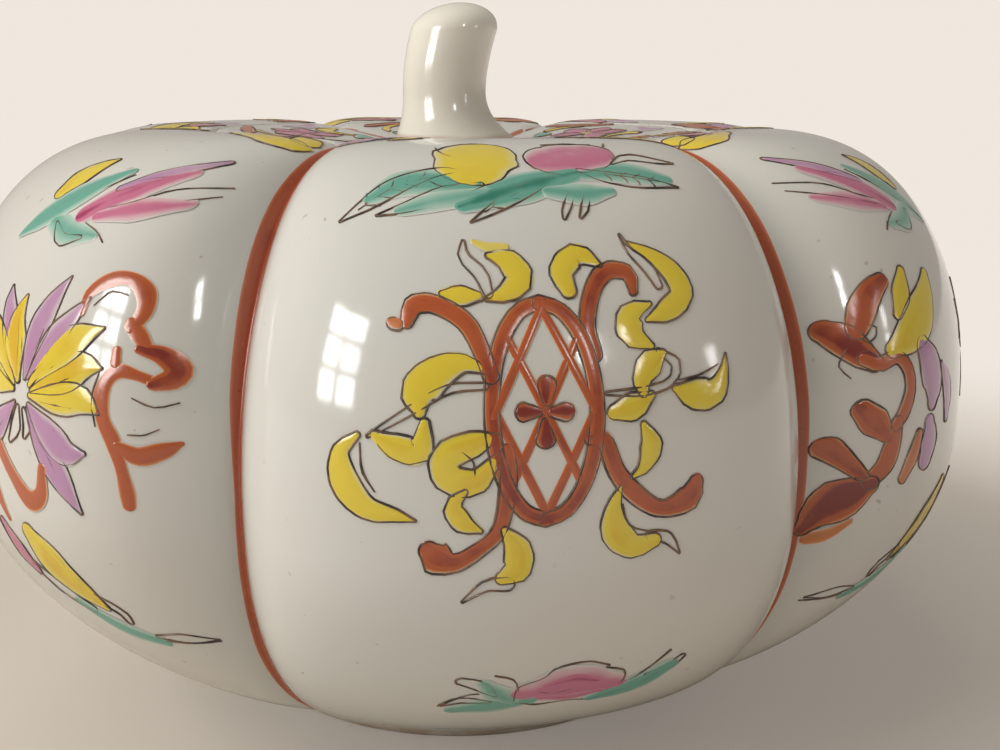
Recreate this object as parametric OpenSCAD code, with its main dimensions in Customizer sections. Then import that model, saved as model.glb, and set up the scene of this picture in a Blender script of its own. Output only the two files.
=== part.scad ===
// Covered jar in the form of a ribbed pumpkin: two luted body shells on a turned foot ring,
// a gallery round the mouth, and a lift-off lid with a locating flange and a stalk for a knob.
// Millimetres, +Z up. The origin is on the resting plane, on the axis of the jar.
// One lobe faces -Y.

/* [Body] */
// Radius over the crowns of the lobes
body_r = 85; // [78:0.5:104]
// Radius at the bottoms of the grooves
groove_r = 73; // [66:0.5:78]
// Number of lobes round the jar
lobes = 6; // [4:2:8]
// How squarely a lobe turns in to its groove
lobe_power = 4.6; // [2:0.1:7]
// Height of the widest level, where the two shells are luted
waist_z = 49; // [42:0.5:60]
// Thickness of the potted wall
wall = 4; // [3:0.25:5]

/* [Shoulder] */
// Rise of a lobe's crown above the waist before the top is dished
crown_rise = 56; // [52:0.5:68]
// Rise of a groove above the waist before the top is dished
groove_rise = 58; // [54:0.5:68]
// Squareness of a crown's profile above the waist
crown_up_power = 2.55; // [2:0.05:3]
// Squareness of a groove's profile above the waist
groove_up_power = 2.05; // [2:0.05:2.6]
// How far in from the widest radius the dish round the stalk begins
dish_margin = 8; // [4:0.5:14]

/* [Base] */
// Squareness of a crown's profile below the waist
crown_down_power = 1.9; // [1.8:0.05:2.6]
// Squareness of a groove's profile below the waist
groove_down_power = 2.4; // [1.9:0.05:2.8]
// Outer radius of the foot ring
foot_r = 41.5; // [34:0.5:46]
// Radial width of the foot ring where it meets the body
foot_w = 5; // [4:0.25:7]
// Height of the foot ring
foot_h = 4; // [3:0.25:6]
// Bevel on both lower edges of the foot ring
foot_bevel = 1.2; // [0.5:0.1:1.5]

/* [Mouth] */
// Radius of the mouth at its upper edge
mouth_r = 43; // [38:0.5:46]
// Depth of the ledge that carries the lid, below the pad under the stalk
ledge_drop = 4; // [3.5:0.25:6]
// Width of the ledge from the mouth inwards
ledge_w = 6; // [5:0.25:8]
// Width of the gallery ring under the shoulder, outside the mouth
gallery_lute_w = 5; // [4:0.25:6]
// Thickness of the gallery ring
gallery_t = 4; // [3:0.25:5]

/* [Lid] */
// Radial gap between the lid and the mouth
lid_gap = 0.5; // [0.3:0.1:1]
// Gap between the lid's underside and the ledge
seat_gap = 0.2; // [0.1:0.05:0.4]
// Radial gap between the locating flange and the gallery
flange_gap = 0.8; // [0.4:0.1:1.5]
// Depth of the locating flange below the lid
flange_h = 8; // [6:0.5:12]
// Thickness of the locating flange
flange_t = 3.5; // [2.5:0.25:5]
// Height of the flat pad under the stalk, above the waist
pad_rise = 42; // [40:0.25:46]
// Margin of the flat pad round the stalk's root
pad_margin = 1; // [0.5:0.25:3]

/* [Stalk] */
// Height of the stalk above the lid
stalk_h = 24; // [18:0.5:30]
// Radius of the stalk's spreading root
root_r = 12; // [9:0.25:12.5]
// Radius of the stalk at its waist
stalk_r = 6.9; // [5.5:0.1:8.5]
// How much wider the stalk is near its tip
tip_bulge = 0.6; // [0:0.1:1.2]
// Sideways bend of the stalk
stalk_bend = 3; // [0:0.1:4]

/* [Hidden] */

round_fn = 96;           // true round on turned parts
side_steps = 16;         // facets across one lobe
outer_steps = 14;        // facets up an outer wall
inner_steps = 9;         // facets up an inner wall
lid_steps = 9;           // facets from the lid's edge to its pad
crowding = 1.3;          // gathers the facets near the waist
shoulder_run = 8;        // inner wall stops this far outside the gallery ring
floor_run = 4;           // inner wall stops this far outside the foot ring
floor_inset = 4;         // inner floor is flat this far inside the foot ring
stalk_sides = 20;
stalk_rings = 18;
root_part = 0.42;        // share of the stalk's height over which the root spreads
root_power = 2.4;
tip_part = 0.2;          // share of the stalk's height that its round tip takes
bend_power = 0.75;       // puts the widest bend low on the stalk

gallery_r = mouth_r + gallery_lute_w;
ledge_r = mouth_r - ledge_w;
ledge_z = waist_z + pad_rise - ledge_drop;
lid_r = mouth_r - lid_gap;
lid_z = ledge_z + seat_gap;
flange_r = ledge_r - flange_gap;
pad_r = root_r + pad_margin;
pad_z = waist_z + pad_rise;
stations = lobes * side_steps;

// A value between its size in a groove (w = 0) and on a crown (w = 1).
function blend(groove, crown, w) = groove + (crown - groove) * w;

// 1 on a lobe's crown and 0 in its grooves; u runs from -1 to 1 across the lobe.
function crownness(u) = 1 - pow(abs(u), lobe_power);

function side_r(w) = blend(groove_r, body_r, w);
function rise(w) = blend(groove_rise, crown_rise, w);
function up_power(w) = blend(groove_up_power, crown_up_power, w);
function down_power(w) = blend(groove_down_power, crown_down_power, w);

// How much of the dish's depth there is at a radius.
function dish(w, r) =
    let (reach = side_r(w) - dish_margin - pad_r)
    pow(max(0, 1 - pow((r - pad_r) / reach, 2)), 2);

// [radius, height] on the outside above the waist; t is 0 at the waist, 90 at the pad.
function upper_point(w, t) =
    let (n = up_power(w))
    let (r = pad_r + (side_r(w) - pad_r) * pow(cos(t), 2 / n))
    [r, waist_z + rise(w) * pow(sin(t), 2 / n) - (rise(w) - pad_rise) * dish(w, r)];

// The angle at which the upper outside reaches a radius.
function upper_angle(w, r) = acos(pow((r - pad_r) / (side_r(w) - pad_r), up_power(w) / 2));

// Full depth of the lower profile, which makes it pass through the top of the foot ring.
function drop(w) =
    let (n = down_power(w))
    (waist_z - foot_h) / pow(1 - pow(foot_r / side_r(w), n), 1 / n);

// [radius, height] on the outside below the waist; t is 0 at the waist.
function lower_point(w, t) =
    let (n = down_power(w))
    [side_r(w) * pow(cos(t), 2 / n), waist_z - drop(w) * pow(sin(t), 2 / n)];

// The angle at which the lower outside reaches a radius.
function lower_angle(w, r) = acos(pow(r / side_r(w), down_power(w) / 2));

// Inner wall points lie a wall's thickness in from the outside, level with it at the waist.
function upper_inner(w, t) =
    let (n = up_power(w))
    upper_point(w, t) - wall * [pow(cos(t), 2 / n), pow(sin(t), 2 / n)];
function lower_inner(w, t) =
    let (n = down_power(w))
    lower_point(w, t) + wall * [-pow(cos(t), 2 / n), pow(sin(t), 2 / n)];

// Shares from 0 to 1, close together near 0.
function shares(steps) = [for (j = [0:steps]) pow(j / steps, crowding)];
function reversed(list) = [for (j = [len(list) - 1:-1:0]) list[j]];

// Sections are [radius, height] lists that run anticlockwise round the clay.
function upper_section(w) = concat(
    [for (s = shares(outer_steps)) upper_point(w, s * upper_angle(w, mouth_r))],
    [[mouth_r, ledge_z], [gallery_r, ledge_z]],
    [for (s = reversed(shares(inner_steps)))
        upper_inner(w, s * upper_angle(w, gallery_r + shoulder_run))]
);

function lower_section(w) = concat(
    [for (s = reversed(shares(outer_steps))) lower_point(w, s * lower_angle(w, foot_r))],
    [for (s = shares(inner_steps)) lower_inner(w, s * lower_angle(w, foot_r + floor_run))],
    [[foot_r - floor_inset, foot_h + wall]]
);

function lid_section(w) = concat(
    [[lid_r, lid_z]],
    [for (s = shares(lid_steps)) upper_point(w, blend(upper_angle(w, lid_r), 90, s))]
);

// Crownness and bearing of each station round the jar, closest together at the grooves.
function station_u(i) = sin(180 * ((i % side_steps) / side_steps) - 90);
function station_bearing(i) = (floor(i / side_steps) + station_u(i) / 2) * 360 / lobes;
function place(section, bearing) =
    [for (p = section) [p[0] * sin(bearing), -p[0] * cos(bearing), p[1]]];

// Faces between neighbouring stations, each of which holds `count` points.
function wall_faces(turns, count, last) = [
    for (i = [0:turns - 1], k = [0:last])
    let (a = i * count, b = ((i + 1) % turns) * count, m = (k + 1) % count)
    each [[a + k, a + m, b + m], [a + k, b + m, b + k]]
];

// A solid ring whose sections are closed loops.
module ring_solid(sections) {
    count = len(sections[0]);
    turns = len(sections);
    polyhedron(points = [for (s = sections) each s],
               faces = wall_faces(turns, count, count - 1), convexity = 6);
}

// A solid whose sections run from a pole below to a pole above.
module capped_solid(sections, below, above) {
    count = len(sections[0]);
    turns = len(sections);
    low = turns * count;
    high = low + 1;
    caps = [for (i = [0:turns - 1])
        let (a = i * count, b = ((i + 1) % turns) * count)
        each [[low, a, b], [a + count - 1, high, b + count - 1]]];
    polyhedron(points = concat([for (s = sections) each s], [below, above]),
               faces = concat(wall_faces(turns, count, count - 2), caps), convexity = 6);
}

// Lower half of the body, from its floor to the waist.
module lower_shell() {
    color("ghostwhite")
        capped_solid([for (i = [0:stations - 1])
                         place(lower_section(crownness(station_u(i))), station_bearing(i))],
                     [0, 0, foot_h], [0, 0, foot_h + wall]);
}

// Upper half of the body, from the waist over the shoulder to the mouth.
module upper_shell() {
    color("ghostwhite")
        ring_solid([for (i = [0:stations - 1])
                       place(upper_section(crownness(station_u(i))), station_bearing(i))]);
}

// Turned foot with an unglazed resting face.
module foot_ring() {
    color("linen")
        rotate_extrude($fn = round_fn)
            polygon([[foot_r - foot_w, foot_h], [foot_r - foot_w, foot_bevel],
                     [foot_r - foot_w + foot_bevel, 0], [foot_r - foot_bevel, 0],
                     [foot_r, foot_bevel], [foot_r, foot_h]]);
}

// Ring luted under the shoulder; its inner part is the ledge for the lid.
module mouth_gallery() {
    color("whitesmoke")
        rotate_extrude($fn = round_fn)
            translate([ledge_r, ledge_z - gallery_t])
                square([gallery_r - ledge_r, gallery_t]);
}

// Lid whose ribs carry on from the shoulder, with a flat pad for the stalk.
module lid_shell() {
    color("ghostwhite")
        capped_solid([for (i = [0:stations - 1])
                         place(lid_section(crownness(station_u(i))), station_bearing(i))],
                     [0, 0, lid_z], [0, 0, pad_z]);
}

// Ring under the lid that keeps it over the mouth.
module lid_flange() {
    color("whitesmoke")
        rotate_extrude($fn = round_fn)
            translate([flange_r - flange_t, lid_z - flange_h])
                square([flange_t, flange_h]);
}

// Radius of the stalk at a share s of its height.
function stalk_radius(s) =
    let (spread = pow(max(0, 1 - s / root_part), root_power))
    let (round_tip = sqrt(1 - pow(max(0, (s - 1 + tip_part) / tip_part), 2)))
    (stalk_r + (root_r - stalk_r) * spread + tip_bulge * s) * round_tip;

// Stations up the stalk; the last ring lies just under its tip.
function stalk_share(k) = sin(90 * k / (stalk_rings + 1));
function stalk_x(s) = -stalk_bend * sin(180 * pow(s, bend_power));

// Curved stalk with a spreading root and a round tip.
module stem_knob() {
    color("honeydew")
        translate([0, 0, pad_z])
            capped_solid([for (i = [0:stalk_sides - 1])
                             [for (k = [0:stalk_rings])
                                 let (s = stalk_share(k), a = 360 * i / stalk_sides)
                                 [stalk_x(s) + stalk_radius(s) * sin(a),
                                  -stalk_radius(s) * cos(a), s * stalk_h]]],
                         [0, 0, 0], [0, 0, stalk_h]);
}

lower_shell();
upper_shell();
foot_ring();
mouth_gallery();
lid_shell();
lid_flange();
stem_knob();
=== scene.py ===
"""Looks of the porcelain pumpkin jar: glazed skins, turned rings, stalk and painted enamels.

Every skin follows one rule, RibbedForm, which works on plain numbers, on arrays and on node
sockets alike. Geometry Nodes trees use it to build the skins, and the painter uses it to lay each
brush mark on its lobe. Brush marks are given in millimetres on a lobe: across it from the middle
of its crown, and up the crown from the waist.
"""

import logging
import math
from collections.abc import Callable, Sequence
from dataclasses import dataclass, field, fields
from enum import Enum

import bpy
import numpy as np
from mathutils import Matrix, Vector


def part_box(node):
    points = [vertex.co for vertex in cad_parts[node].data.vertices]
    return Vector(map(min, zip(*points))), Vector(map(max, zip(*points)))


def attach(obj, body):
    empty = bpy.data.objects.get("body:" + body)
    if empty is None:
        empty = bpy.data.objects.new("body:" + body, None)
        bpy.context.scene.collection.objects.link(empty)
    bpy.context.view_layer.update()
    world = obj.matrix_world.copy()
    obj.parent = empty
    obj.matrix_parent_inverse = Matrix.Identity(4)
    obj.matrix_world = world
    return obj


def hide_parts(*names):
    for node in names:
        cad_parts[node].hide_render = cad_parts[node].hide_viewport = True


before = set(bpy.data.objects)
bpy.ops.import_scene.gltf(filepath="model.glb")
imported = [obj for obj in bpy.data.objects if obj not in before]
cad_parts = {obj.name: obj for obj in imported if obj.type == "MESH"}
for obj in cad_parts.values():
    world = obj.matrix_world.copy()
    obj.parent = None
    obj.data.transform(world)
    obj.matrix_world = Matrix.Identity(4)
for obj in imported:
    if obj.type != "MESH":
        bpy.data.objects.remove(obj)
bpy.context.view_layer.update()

MM = 0.001
TINY = 1e-9
LOG = logging.getLogger("pumpkin_jar")

Colour = tuple[float, float, float]
Spine = Sequence[tuple[float, float, float]]

# How far each groove's line lies beside the groove, and how much further near the shoulder, in mm.
LINE_COURSES = ((0.9, 0.1), (0.3, 0.2), (-0.2, 0.3), (0.2, -0.2), (-0.3, 0.3), (0.1, -0.5))


# ---------------------------------------------------------------- node trees


class Value:
    """A number on a node socket. Python's operators on it add Math nodes to its tree."""

    def __init__(self, tree: "Tree", socket: bpy.types.NodeSocket) -> None:
        """Keeps the tree that the socket belongs to."""
        self.tree = tree
        self.socket = socket

    def math(self, operation: str, *others: "Number") -> "Value":
        """Adds a Math node on this value and returns its result.

        Args:
            operation: the Math node's operation.
            others: its further inputs.

        Returns:
            The node's result.
        """
        return self.tree.maths(operation, self, *others)

    def __add__(self, other: "Number") -> "Value":
        """Sum."""
        return self.math("ADD", other)

    def __radd__(self, other: float) -> "Value":
        """Sum with a plain number first."""
        return self.math("ADD", other)

    def __sub__(self, other: "Number") -> "Value":
        """Difference."""
        return self.math("SUBTRACT", other)

    def __rsub__(self, other: float) -> "Value":
        """Difference from a plain number."""
        return self.tree.maths("SUBTRACT", other, self)

    def __mul__(self, other: "Number") -> "Value":
        """Product."""
        return self.math("MULTIPLY", other)

    def __rmul__(self, other: float) -> "Value":
        """Product with a plain number first."""
        return self.math("MULTIPLY", other)

    def __truediv__(self, other: "Number") -> "Value":
        """Quotient."""
        return self.math("DIVIDE", other)

    def __rtruediv__(self, other: float) -> "Value":
        """Quotient of a plain number by this one."""
        return self.tree.maths("DIVIDE", other, self)

    def __pow__(self, other: "Number") -> "Value":
        """Power."""
        return self.math("POWER", other)

    def __neg__(self) -> "Value":
        """Opposite."""
        return self.math("MULTIPLY", -1.0)

    def between(self, low: float, high: float) -> "Value":
        """0 below low, 1 above high, and a smooth step between them.

        Args:
            low: where the step starts.
            high: where it ends.

        Returns:
            The stepped value.
        """
        settings = {"interpolation_type": "SMOOTHSTEP"}
        return self.tree.value("ShaderNodeMapRange", settings, {"Value": self, 1: low, 2: high})


Number = float | np.ndarray | Value


class Tree:
    """A node tree under construction."""

    def __init__(self, tree: bpy.types.NodeTree) -> None:
        """Keeps the tree that nodes are added to."""
        self.tree = tree

    def node(self, kind: str, settings: dict | None = None, sockets: dict | None = None) -> bpy.types.Node:
        """Adds a node, sets it up and links it.

        Args:
            kind: the node's type.
            settings: its properties by name, set first.
            sockets: a value, socket or constant for each input, by name or place.

        Returns:
            The new node.
        """
        made = self.tree.nodes.new(kind)
        for name, setting in (settings or {}).items():
            setattr(made, name, setting)
        for key, given in (sockets or {}).items():
            source = given.socket if isinstance(given, Value) else given
            if isinstance(source, bpy.types.NodeSocket):
                self.tree.links.new(source, made.inputs[key])
            else:
                made.inputs[key].default_value = source
        return made

    def out(self, kind: str, settings: dict | None = None, sockets: dict | None = None,
            output: int | str = 0) -> bpy.types.NodeSocket:
        """Adds a node and returns one of its output sockets.

        Args:
            kind: the node's type.
            settings: its properties by name.
            sockets: its inputs by name or place.
            output: the name or place of the output wanted.

        Returns:
            That output socket.
        """
        return self.node(kind, settings, sockets).outputs[output]

    def value(self, kind: str, settings: dict | None = None, sockets: dict | None = None,
              output: int | str = 0) -> Value:
        """Adds a node and returns one of its outputs as a Value.

        Args:
            kind: the node's type.
            settings: its properties by name.
            sockets: its inputs by name or place.
            output: the name or place of the output wanted.

        Returns:
            That output, ready for Python's operators.
        """
        return Value(self, self.out(kind, settings, sockets, output))

    def maths(self, operation: str, *operands: Number) -> Value:
        """Adds a Math node.

        Args:
            operation: its operation.
            operands: its inputs in order.

        Returns:
            Its result.
        """
        return self.value("ShaderNodeMath", {"operation": operation}, dict(enumerate(operands)))


def sine(angle: Number) -> Number:
    """Sine of a number, an array or a socket."""
    return angle.math("SINE") if isinstance(angle, Value) else np.sin(angle)


def cosine(angle: Number) -> Number:
    """Cosine of a number, an array or a socket."""
    return angle.math("COSINE") if isinstance(angle, Value) else np.cos(angle)


def arccosine(share: Number) -> Number:
    """Arc cosine of a number, an array or a socket."""
    return share.math("ARCCOSINE") if isinstance(share, Value) else np.arccos(np.clip(share, -1, 1))


def size_of(number: Number) -> Number:
    """A number without its sign."""
    return number.math("ABSOLUTE") if isinstance(number, Value) else np.abs(number)


def at_least(number: Number, floor: float) -> Number:
    """The larger of a number and a plain lower limit."""
    return number.math("MAXIMUM", floor) if isinstance(number, Value) else np.maximum(number, floor)


# ---------------------------------------------------------------- the rule of the form


@dataclass
class RibbedForm:
    """The rule that shapes every ribbed skin. Sizes are in metres, or sockets that hold metres.

    w is 1 on a lobe's crown and 0 in its grooves, and t is the angle up the profile: 0 at the waist.
    """

    body_r: Number
    waist_z: Number
    foot_r: Number
    foot_h: Number
    pad_rise: Number
    pad_r: Number
    groove_r: Number = 73 * MM
    wall: Number = 4 * MM
    crown_rise: Number = 56 * MM
    groove_rise: Number = 58 * MM
    dish_margin: Number = 8 * MM
    crown_up_power: Number = 2.55
    groove_up_power: Number = 2.05
    crown_down_power: Number = 1.9
    groove_down_power: Number = 2.4
    lobe_power: Number = 4.6
    groove_softness: Number = 0.03
    lobes: Number = 6.0

    @staticmethod
    def blend(groove: Number, crown: Number, w: Number) -> Number:
        """A size between its value in a groove and on a crown."""
        return groove + (crown - groove) * w

    def crownness(self, u: Number) -> Number:
        """How near the crown a place across the lobe is, where u runs from -1 to 1.

        The glaze fills the bottom of a groove, so the rule is rounded off there.
        """
        sharp = 1 - size_of(u) ** self.lobe_power
        soft = self.groove_softness
        return ((sharp * sharp + soft * soft) ** 0.5 - soft) / ((1 + soft * soft) ** 0.5 - soft)

    def side_r(self, w: Number) -> Number:
        """Radius at the waist."""
        return self.blend(self.groove_r, self.body_r, w)

    def rise(self, w: Number) -> Number:
        """Rise above the waist before the top is dished."""
        return self.blend(self.groove_rise, self.crown_rise, w)

    def up_power(self, w: Number) -> Number:
        """Squareness of the profile above the waist."""
        return self.blend(self.groove_up_power, self.crown_up_power, w)

    def down_power(self, w: Number) -> Number:
        """Squareness of the profile below the waist."""
        return self.blend(self.groove_down_power, self.crown_down_power, w)

    def dish(self, w: Number, r: Number) -> Number:
        """Share of the dish's depth at a radius."""
        reach = self.side_r(w) - self.dish_margin - self.pad_r
        return at_least(1 - ((r - self.pad_r) / reach) ** 2.0, 0.0) ** 2.0

    def upper_height(self, w: Number, r: Number, t: Number) -> Number:
        """Height of the outside above the waist at a radius and its angle."""
        arch = self.rise(w) * at_least(sine(t), 0.0) ** (2 / self.up_power(w))
        return self.waist_z + arch - (self.rise(w) - self.pad_rise) * self.dish(w, r)

    def upper_point(self, w: Number, t: Number) -> tuple[Number, Number]:
        """Radius and height on the outside above the waist."""
        spread = at_least(cosine(t), 0.0) ** (2 / self.up_power(w))
        r = self.pad_r + (self.side_r(w) - self.pad_r) * spread
        return r, self.upper_height(w, r, t)

    def upper_angle(self, w: Number, r: Number) -> Number:
        """Angle at which the upper outside reaches a radius."""
        share = (r - self.pad_r) / (self.side_r(w) - self.pad_r)
        return arccosine(share ** (self.up_power(w) / 2))

    def lower_point(self, w: Number, t: Number) -> tuple[Number, Number]:
        """Radius and height on the outside below the waist."""
        n = self.down_power(w)
        depth = (self.waist_z - self.foot_h) / (1 - (self.foot_r / self.side_r(w)) ** n) ** (1 / n)
        fall = depth * at_least(sine(t), 0.0) ** (2 / n)
        return self.side_r(w) * at_least(cosine(t), 0.0) ** (2 / n), self.waist_z - fall

    def lower_angle(self, w: Number, r: Number) -> Number:
        """Angle at which the lower outside reaches a radius."""
        return arccosine((r / self.side_r(w)) ** (self.down_power(w) / 2))

    def upper_inner(self, w: Number, t: Number) -> tuple[Number, Number]:
        """Radius and height on the inside above the waist."""
        r, z = self.upper_point(w, t)
        turn = 2 / self.up_power(w)
        aside, down = at_least(cosine(t), 0.0) ** turn, at_least(sine(t), 0.0) ** turn
        return r - self.wall * aside, z - self.wall * down

    def lower_inner(self, w: Number, t: Number) -> tuple[Number, Number]:
        """Radius and height on the inside below the waist."""
        r, z = self.lower_point(w, t)
        turn = 2 / self.down_power(w)
        aside, up = at_least(cosine(t), 0.0) ** turn, at_least(sine(t), 0.0) ** turn
        return r - self.wall * aside, z + self.wall * up


@dataclass(frozen=True)
class Patch:
    """A stretch of a skin's section.

    point takes the crownness and the share of the stretch, and gives radius and height.
    """

    steps: int
    point: Callable[[Number, Number], tuple[Number, Number]]


@dataclass
class JarSizes:
    """Sizes of the potted pieces in metres, read from the fixed frame or named here."""

    gallery_lute: float = 5 * MM
    ledge_w: float = 6 * MM
    shoulder_run: float = 8 * MM
    floor_run: float = 4 * MM
    lip: float = 0.7 * MM
    root_r: float = 12 * MM
    pad_margin: float = 1 * MM
    foot_w: float = 5 * MM
    flange_t: float = 3.5 * MM
    lid_gap: float = 0.5 * MM
    form: RibbedForm = field(init=False)
    gallery_r: float = field(init=False)
    gallery_low: float = field(init=False)
    ledge_z: float = field(init=False)
    mouth_r: float = field(init=False)
    lid_r: float = field(init=False)
    lid_z: float = field(init=False)
    pad_z: float = field(init=False)
    top_z: float = field(init=False)

    def __post_init__(self) -> None:
        """Reads the sizes that the frame gives."""
        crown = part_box("upper_shell")
        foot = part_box("foot_ring")
        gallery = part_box("mouth_gallery")
        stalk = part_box("stem_knob")
        self.gallery_r = gallery[1].x
        self.gallery_low = gallery[0].z
        self.ledge_z = gallery[1].z
        self.mouth_r = self.gallery_r - self.gallery_lute
        self.lid_r = self.mouth_r - self.lid_gap
        self.lid_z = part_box("lid_shell")[0].z
        self.pad_z = stalk[0].z
        self.top_z = stalk[1].z
        self.form = RibbedForm(
            body_r=-crown[0].y,
            waist_z=crown[0].z,
            foot_r=foot[1].x,
            foot_h=foot[1].z,
            pad_rise=self.pad_z - crown[0].z,
            pad_r=self.root_r + self.pad_margin,
        )


# ---------------------------------------------------------------- making meshes


def finish_mesh(name: str, mesh: bpy.types.Mesh, material: bpy.types.Material | None) -> bpy.types.Object:
    """Links a mesh as a smooth-shaded object at the origin.

    Args:
        name: the piece's name.
        mesh: its mesh, in metres in the row frame.
        material: its finish, or None where the mesh holds it already.

    Returns:
        The new object.
    """
    mesh.name = name
    mesh.shade_smooth()
    if material:
        mesh.materials.clear()
        mesh.materials.append(material)
    piece = bpy.data.objects.new(name, mesh)
    bpy.context.scene.collection.objects.link(piece)
    return piece


class Maker(Tree):
    """A Geometry Nodes tree that makes one kind of piece."""

    def __init__(self, name: str) -> None:
        """Starts an empty tree with a geometry input and output."""
        super().__init__(bpy.data.node_groups.new(name, "GeometryNodeTree"))
        self.tree.interface.new_socket("Geometry", in_out="INPUT", socket_type="NodeSocketGeometry")
        self.tree.interface.new_socket("Geometry", in_out="OUTPUT", socket_type="NodeSocketGeometry")
        self.entry = self.tree.nodes.new("NodeGroupInput")
        self.exit = self.tree.nodes.new("NodeGroupOutput")

    def size(self, name: str) -> Value:
        """Adds a named number to the tree's inputs.

        Args:
            name: the input's name.

        Returns:
            The number as a Value.
        """
        self.tree.interface.new_socket(name, in_out="INPUT", socket_type="NodeSocketFloat")
        return Value(self, self.entry.outputs[name])

    def close(self, geometry: bpy.types.NodeSocket, material: bpy.types.Material) -> None:
        """Ends the tree with real geometry that holds its material.

        Args:
            geometry: what the tree has made.
            material: its finish.
        """
        smooth = self.out("GeometryNodeSetShadeSmooth", None, {"Geometry": geometry})
        real = self.out("GeometryNodeRealizeInstances", None, {"Geometry": smooth})
        dressed = self.out("GeometryNodeSetMaterial", None, {"Geometry": real, "Material": material})
        self.tree.links.new(dressed, self.exit.inputs[0])

    def run(self, name: str, sizes: dict[str, float], seed: bpy.types.Mesh | None = None
            ) -> bpy.types.Object:
        """Runs the tree once and keeps its result as a plain mesh.

        Args:
            name: the piece's name.
            sizes: a number for each named input.
            seed: the mesh that the tree starts from, if it needs one.

        Returns:
            The piece.
        """
        carrier = bpy.data.objects.new(name + "_carrier", seed or bpy.data.meshes.new(name + "_seed"))
        bpy.context.scene.collection.objects.link(carrier)
        modifier = carrier.modifiers.new(name, "NODES")
        modifier.node_group = self.tree
        for item in self.tree.interface.items_tree:
            if item.in_out == "INPUT" and item.name in sizes:
                modifier[item.identifier] = float(sizes[item.name])
        graph = bpy.context.evaluated_depsgraph_get()
        made = bpy.data.meshes.new_from_object(carrier.evaluated_get(graph), depsgraph=graph)
        carrier.modifiers.remove(modifier)
        bpy.data.objects.remove(carrier)
        return finish_mesh(name, made, None)


class SkinMaker(Maker):
    """Geometry Nodes that wrap a section round the ribbed form, one grid for each stretch of it."""

    STATIONS_PER_LOBE = 64
    MERGE = 1.5e-6

    def __init__(self, name: str, material: bpy.types.Material) -> None:
        """Adds the form's named sizes and the bearing that every grid shares."""
        super().__init__(name)
        self.material = material
        self.form = RibbedForm(**{f.name: self.size(f.name) for f in fields(RibbedForm)})
        place = self.node("ShaderNodeSeparateXYZ", None, {0: self.out("GeometryNodeInputPosition")})
        turn = (Value(self, place.outputs[0]) + 0.5) * self.form.lobes
        whole = turn.math("FLOOR")
        across = -cosine((turn - whole) * math.pi)
        self.share = Value(self, place.outputs[1]) + 0.5
        self.bearing = (whole + across * 0.5) * (2 * math.pi / self.form.lobes)
        self.crown = self.form.crownness(across)

    def grid(self, patch: Patch, lobes: int) -> bpy.types.NodeSocket:
        """One stretch of the section, carried round all the lobes.

        Args:
            patch: the stretch.
            lobes: how many lobes there are.

        Returns:
            The stretch's mesh.
        """
        counts = {"Vertices X": lobes * self.STATIONS_PER_LOBE + 1, "Vertices Y": patch.steps + 1}
        flat = self.out("GeometryNodeMeshGrid", None, {"Size X": 1.0, "Size Y": 1.0, **counts})
        r, z = patch.point(self.crown, self.share)
        spot = self.out("ShaderNodeCombineXYZ", None,
                        {0: r * sine(self.bearing), 1: -(r * cosine(self.bearing)), 2: z})
        marked = self.out("GeometryNodeStoreNamedAttribute", {"data_type": "FLOAT", "domain": "POINT"},
                          {"Geometry": flat, "Name": "crown", "Value": self.crown})
        return self.out("GeometryNodeSetPosition", None, {"Geometry": marked, "Position": spot})

    def make(self, name: str, patches: Sequence[Patch], form: RibbedForm) -> bpy.types.Object:
        """Joins all stretches into one closed skin.

        Args:
            name: the piece's name.
            patches: the section, so ordered that its faces point out of the clay.
            form: the rule's sizes.

        Returns:
            The skin as a plain mesh.
        """
        join = self.node("GeometryNodeJoinGeometry")
        for patch in reversed(patches):
            self.tree.links.new(self.grid(patch, int(form.lobes)), join.inputs[0])
        welded = self.out("GeometryNodeMergeByDistance", None,
                          {"Geometry": join.outputs[0], "Distance": self.MERGE})
        self.close(welded, self.material)
        return self.run(name, {f.name: getattr(form, f.name) for f in fields(RibbedForm)})


class RingMaker(Maker):
    """Geometry Nodes for a ring turned on the wheel, with its edges eased."""

    SIDES = 256
    EDGE_STEPS = 6

    def __init__(self, material: bpy.types.Material) -> None:
        """Builds the tree: an eased rectangle carried round a circle."""
        super().__init__("Turned ring")
        middle, height = self.size("Middle radius"), self.size("Middle height")
        wide, tall, ease = self.size("Width"), self.size("Depth"), self.size("Eased edge")
        path = self.out("GeometryNodeCurvePrimitiveCircle", None,
                        {"Resolution": self.SIDES, "Radius": middle})
        block = self.out("GeometryNodeCurvePrimitiveQuadrilateral", None, {"Width": wide, "Height": tall})
        eased = self.out("GeometryNodeFilletCurve", {"mode": "POLY"},
                         {"Curve": block, "Count": self.EDGE_STEPS, "Radius": ease})
        ring = self.out("GeometryNodeCurveToMesh", None, {0: path, 1: eased})
        lift = self.out("ShaderNodeCombineXYZ", None, {2: height})
        self.close(self.out("GeometryNodeSetPosition", None, {"Geometry": ring, "Offset": lift}), material)


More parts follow.
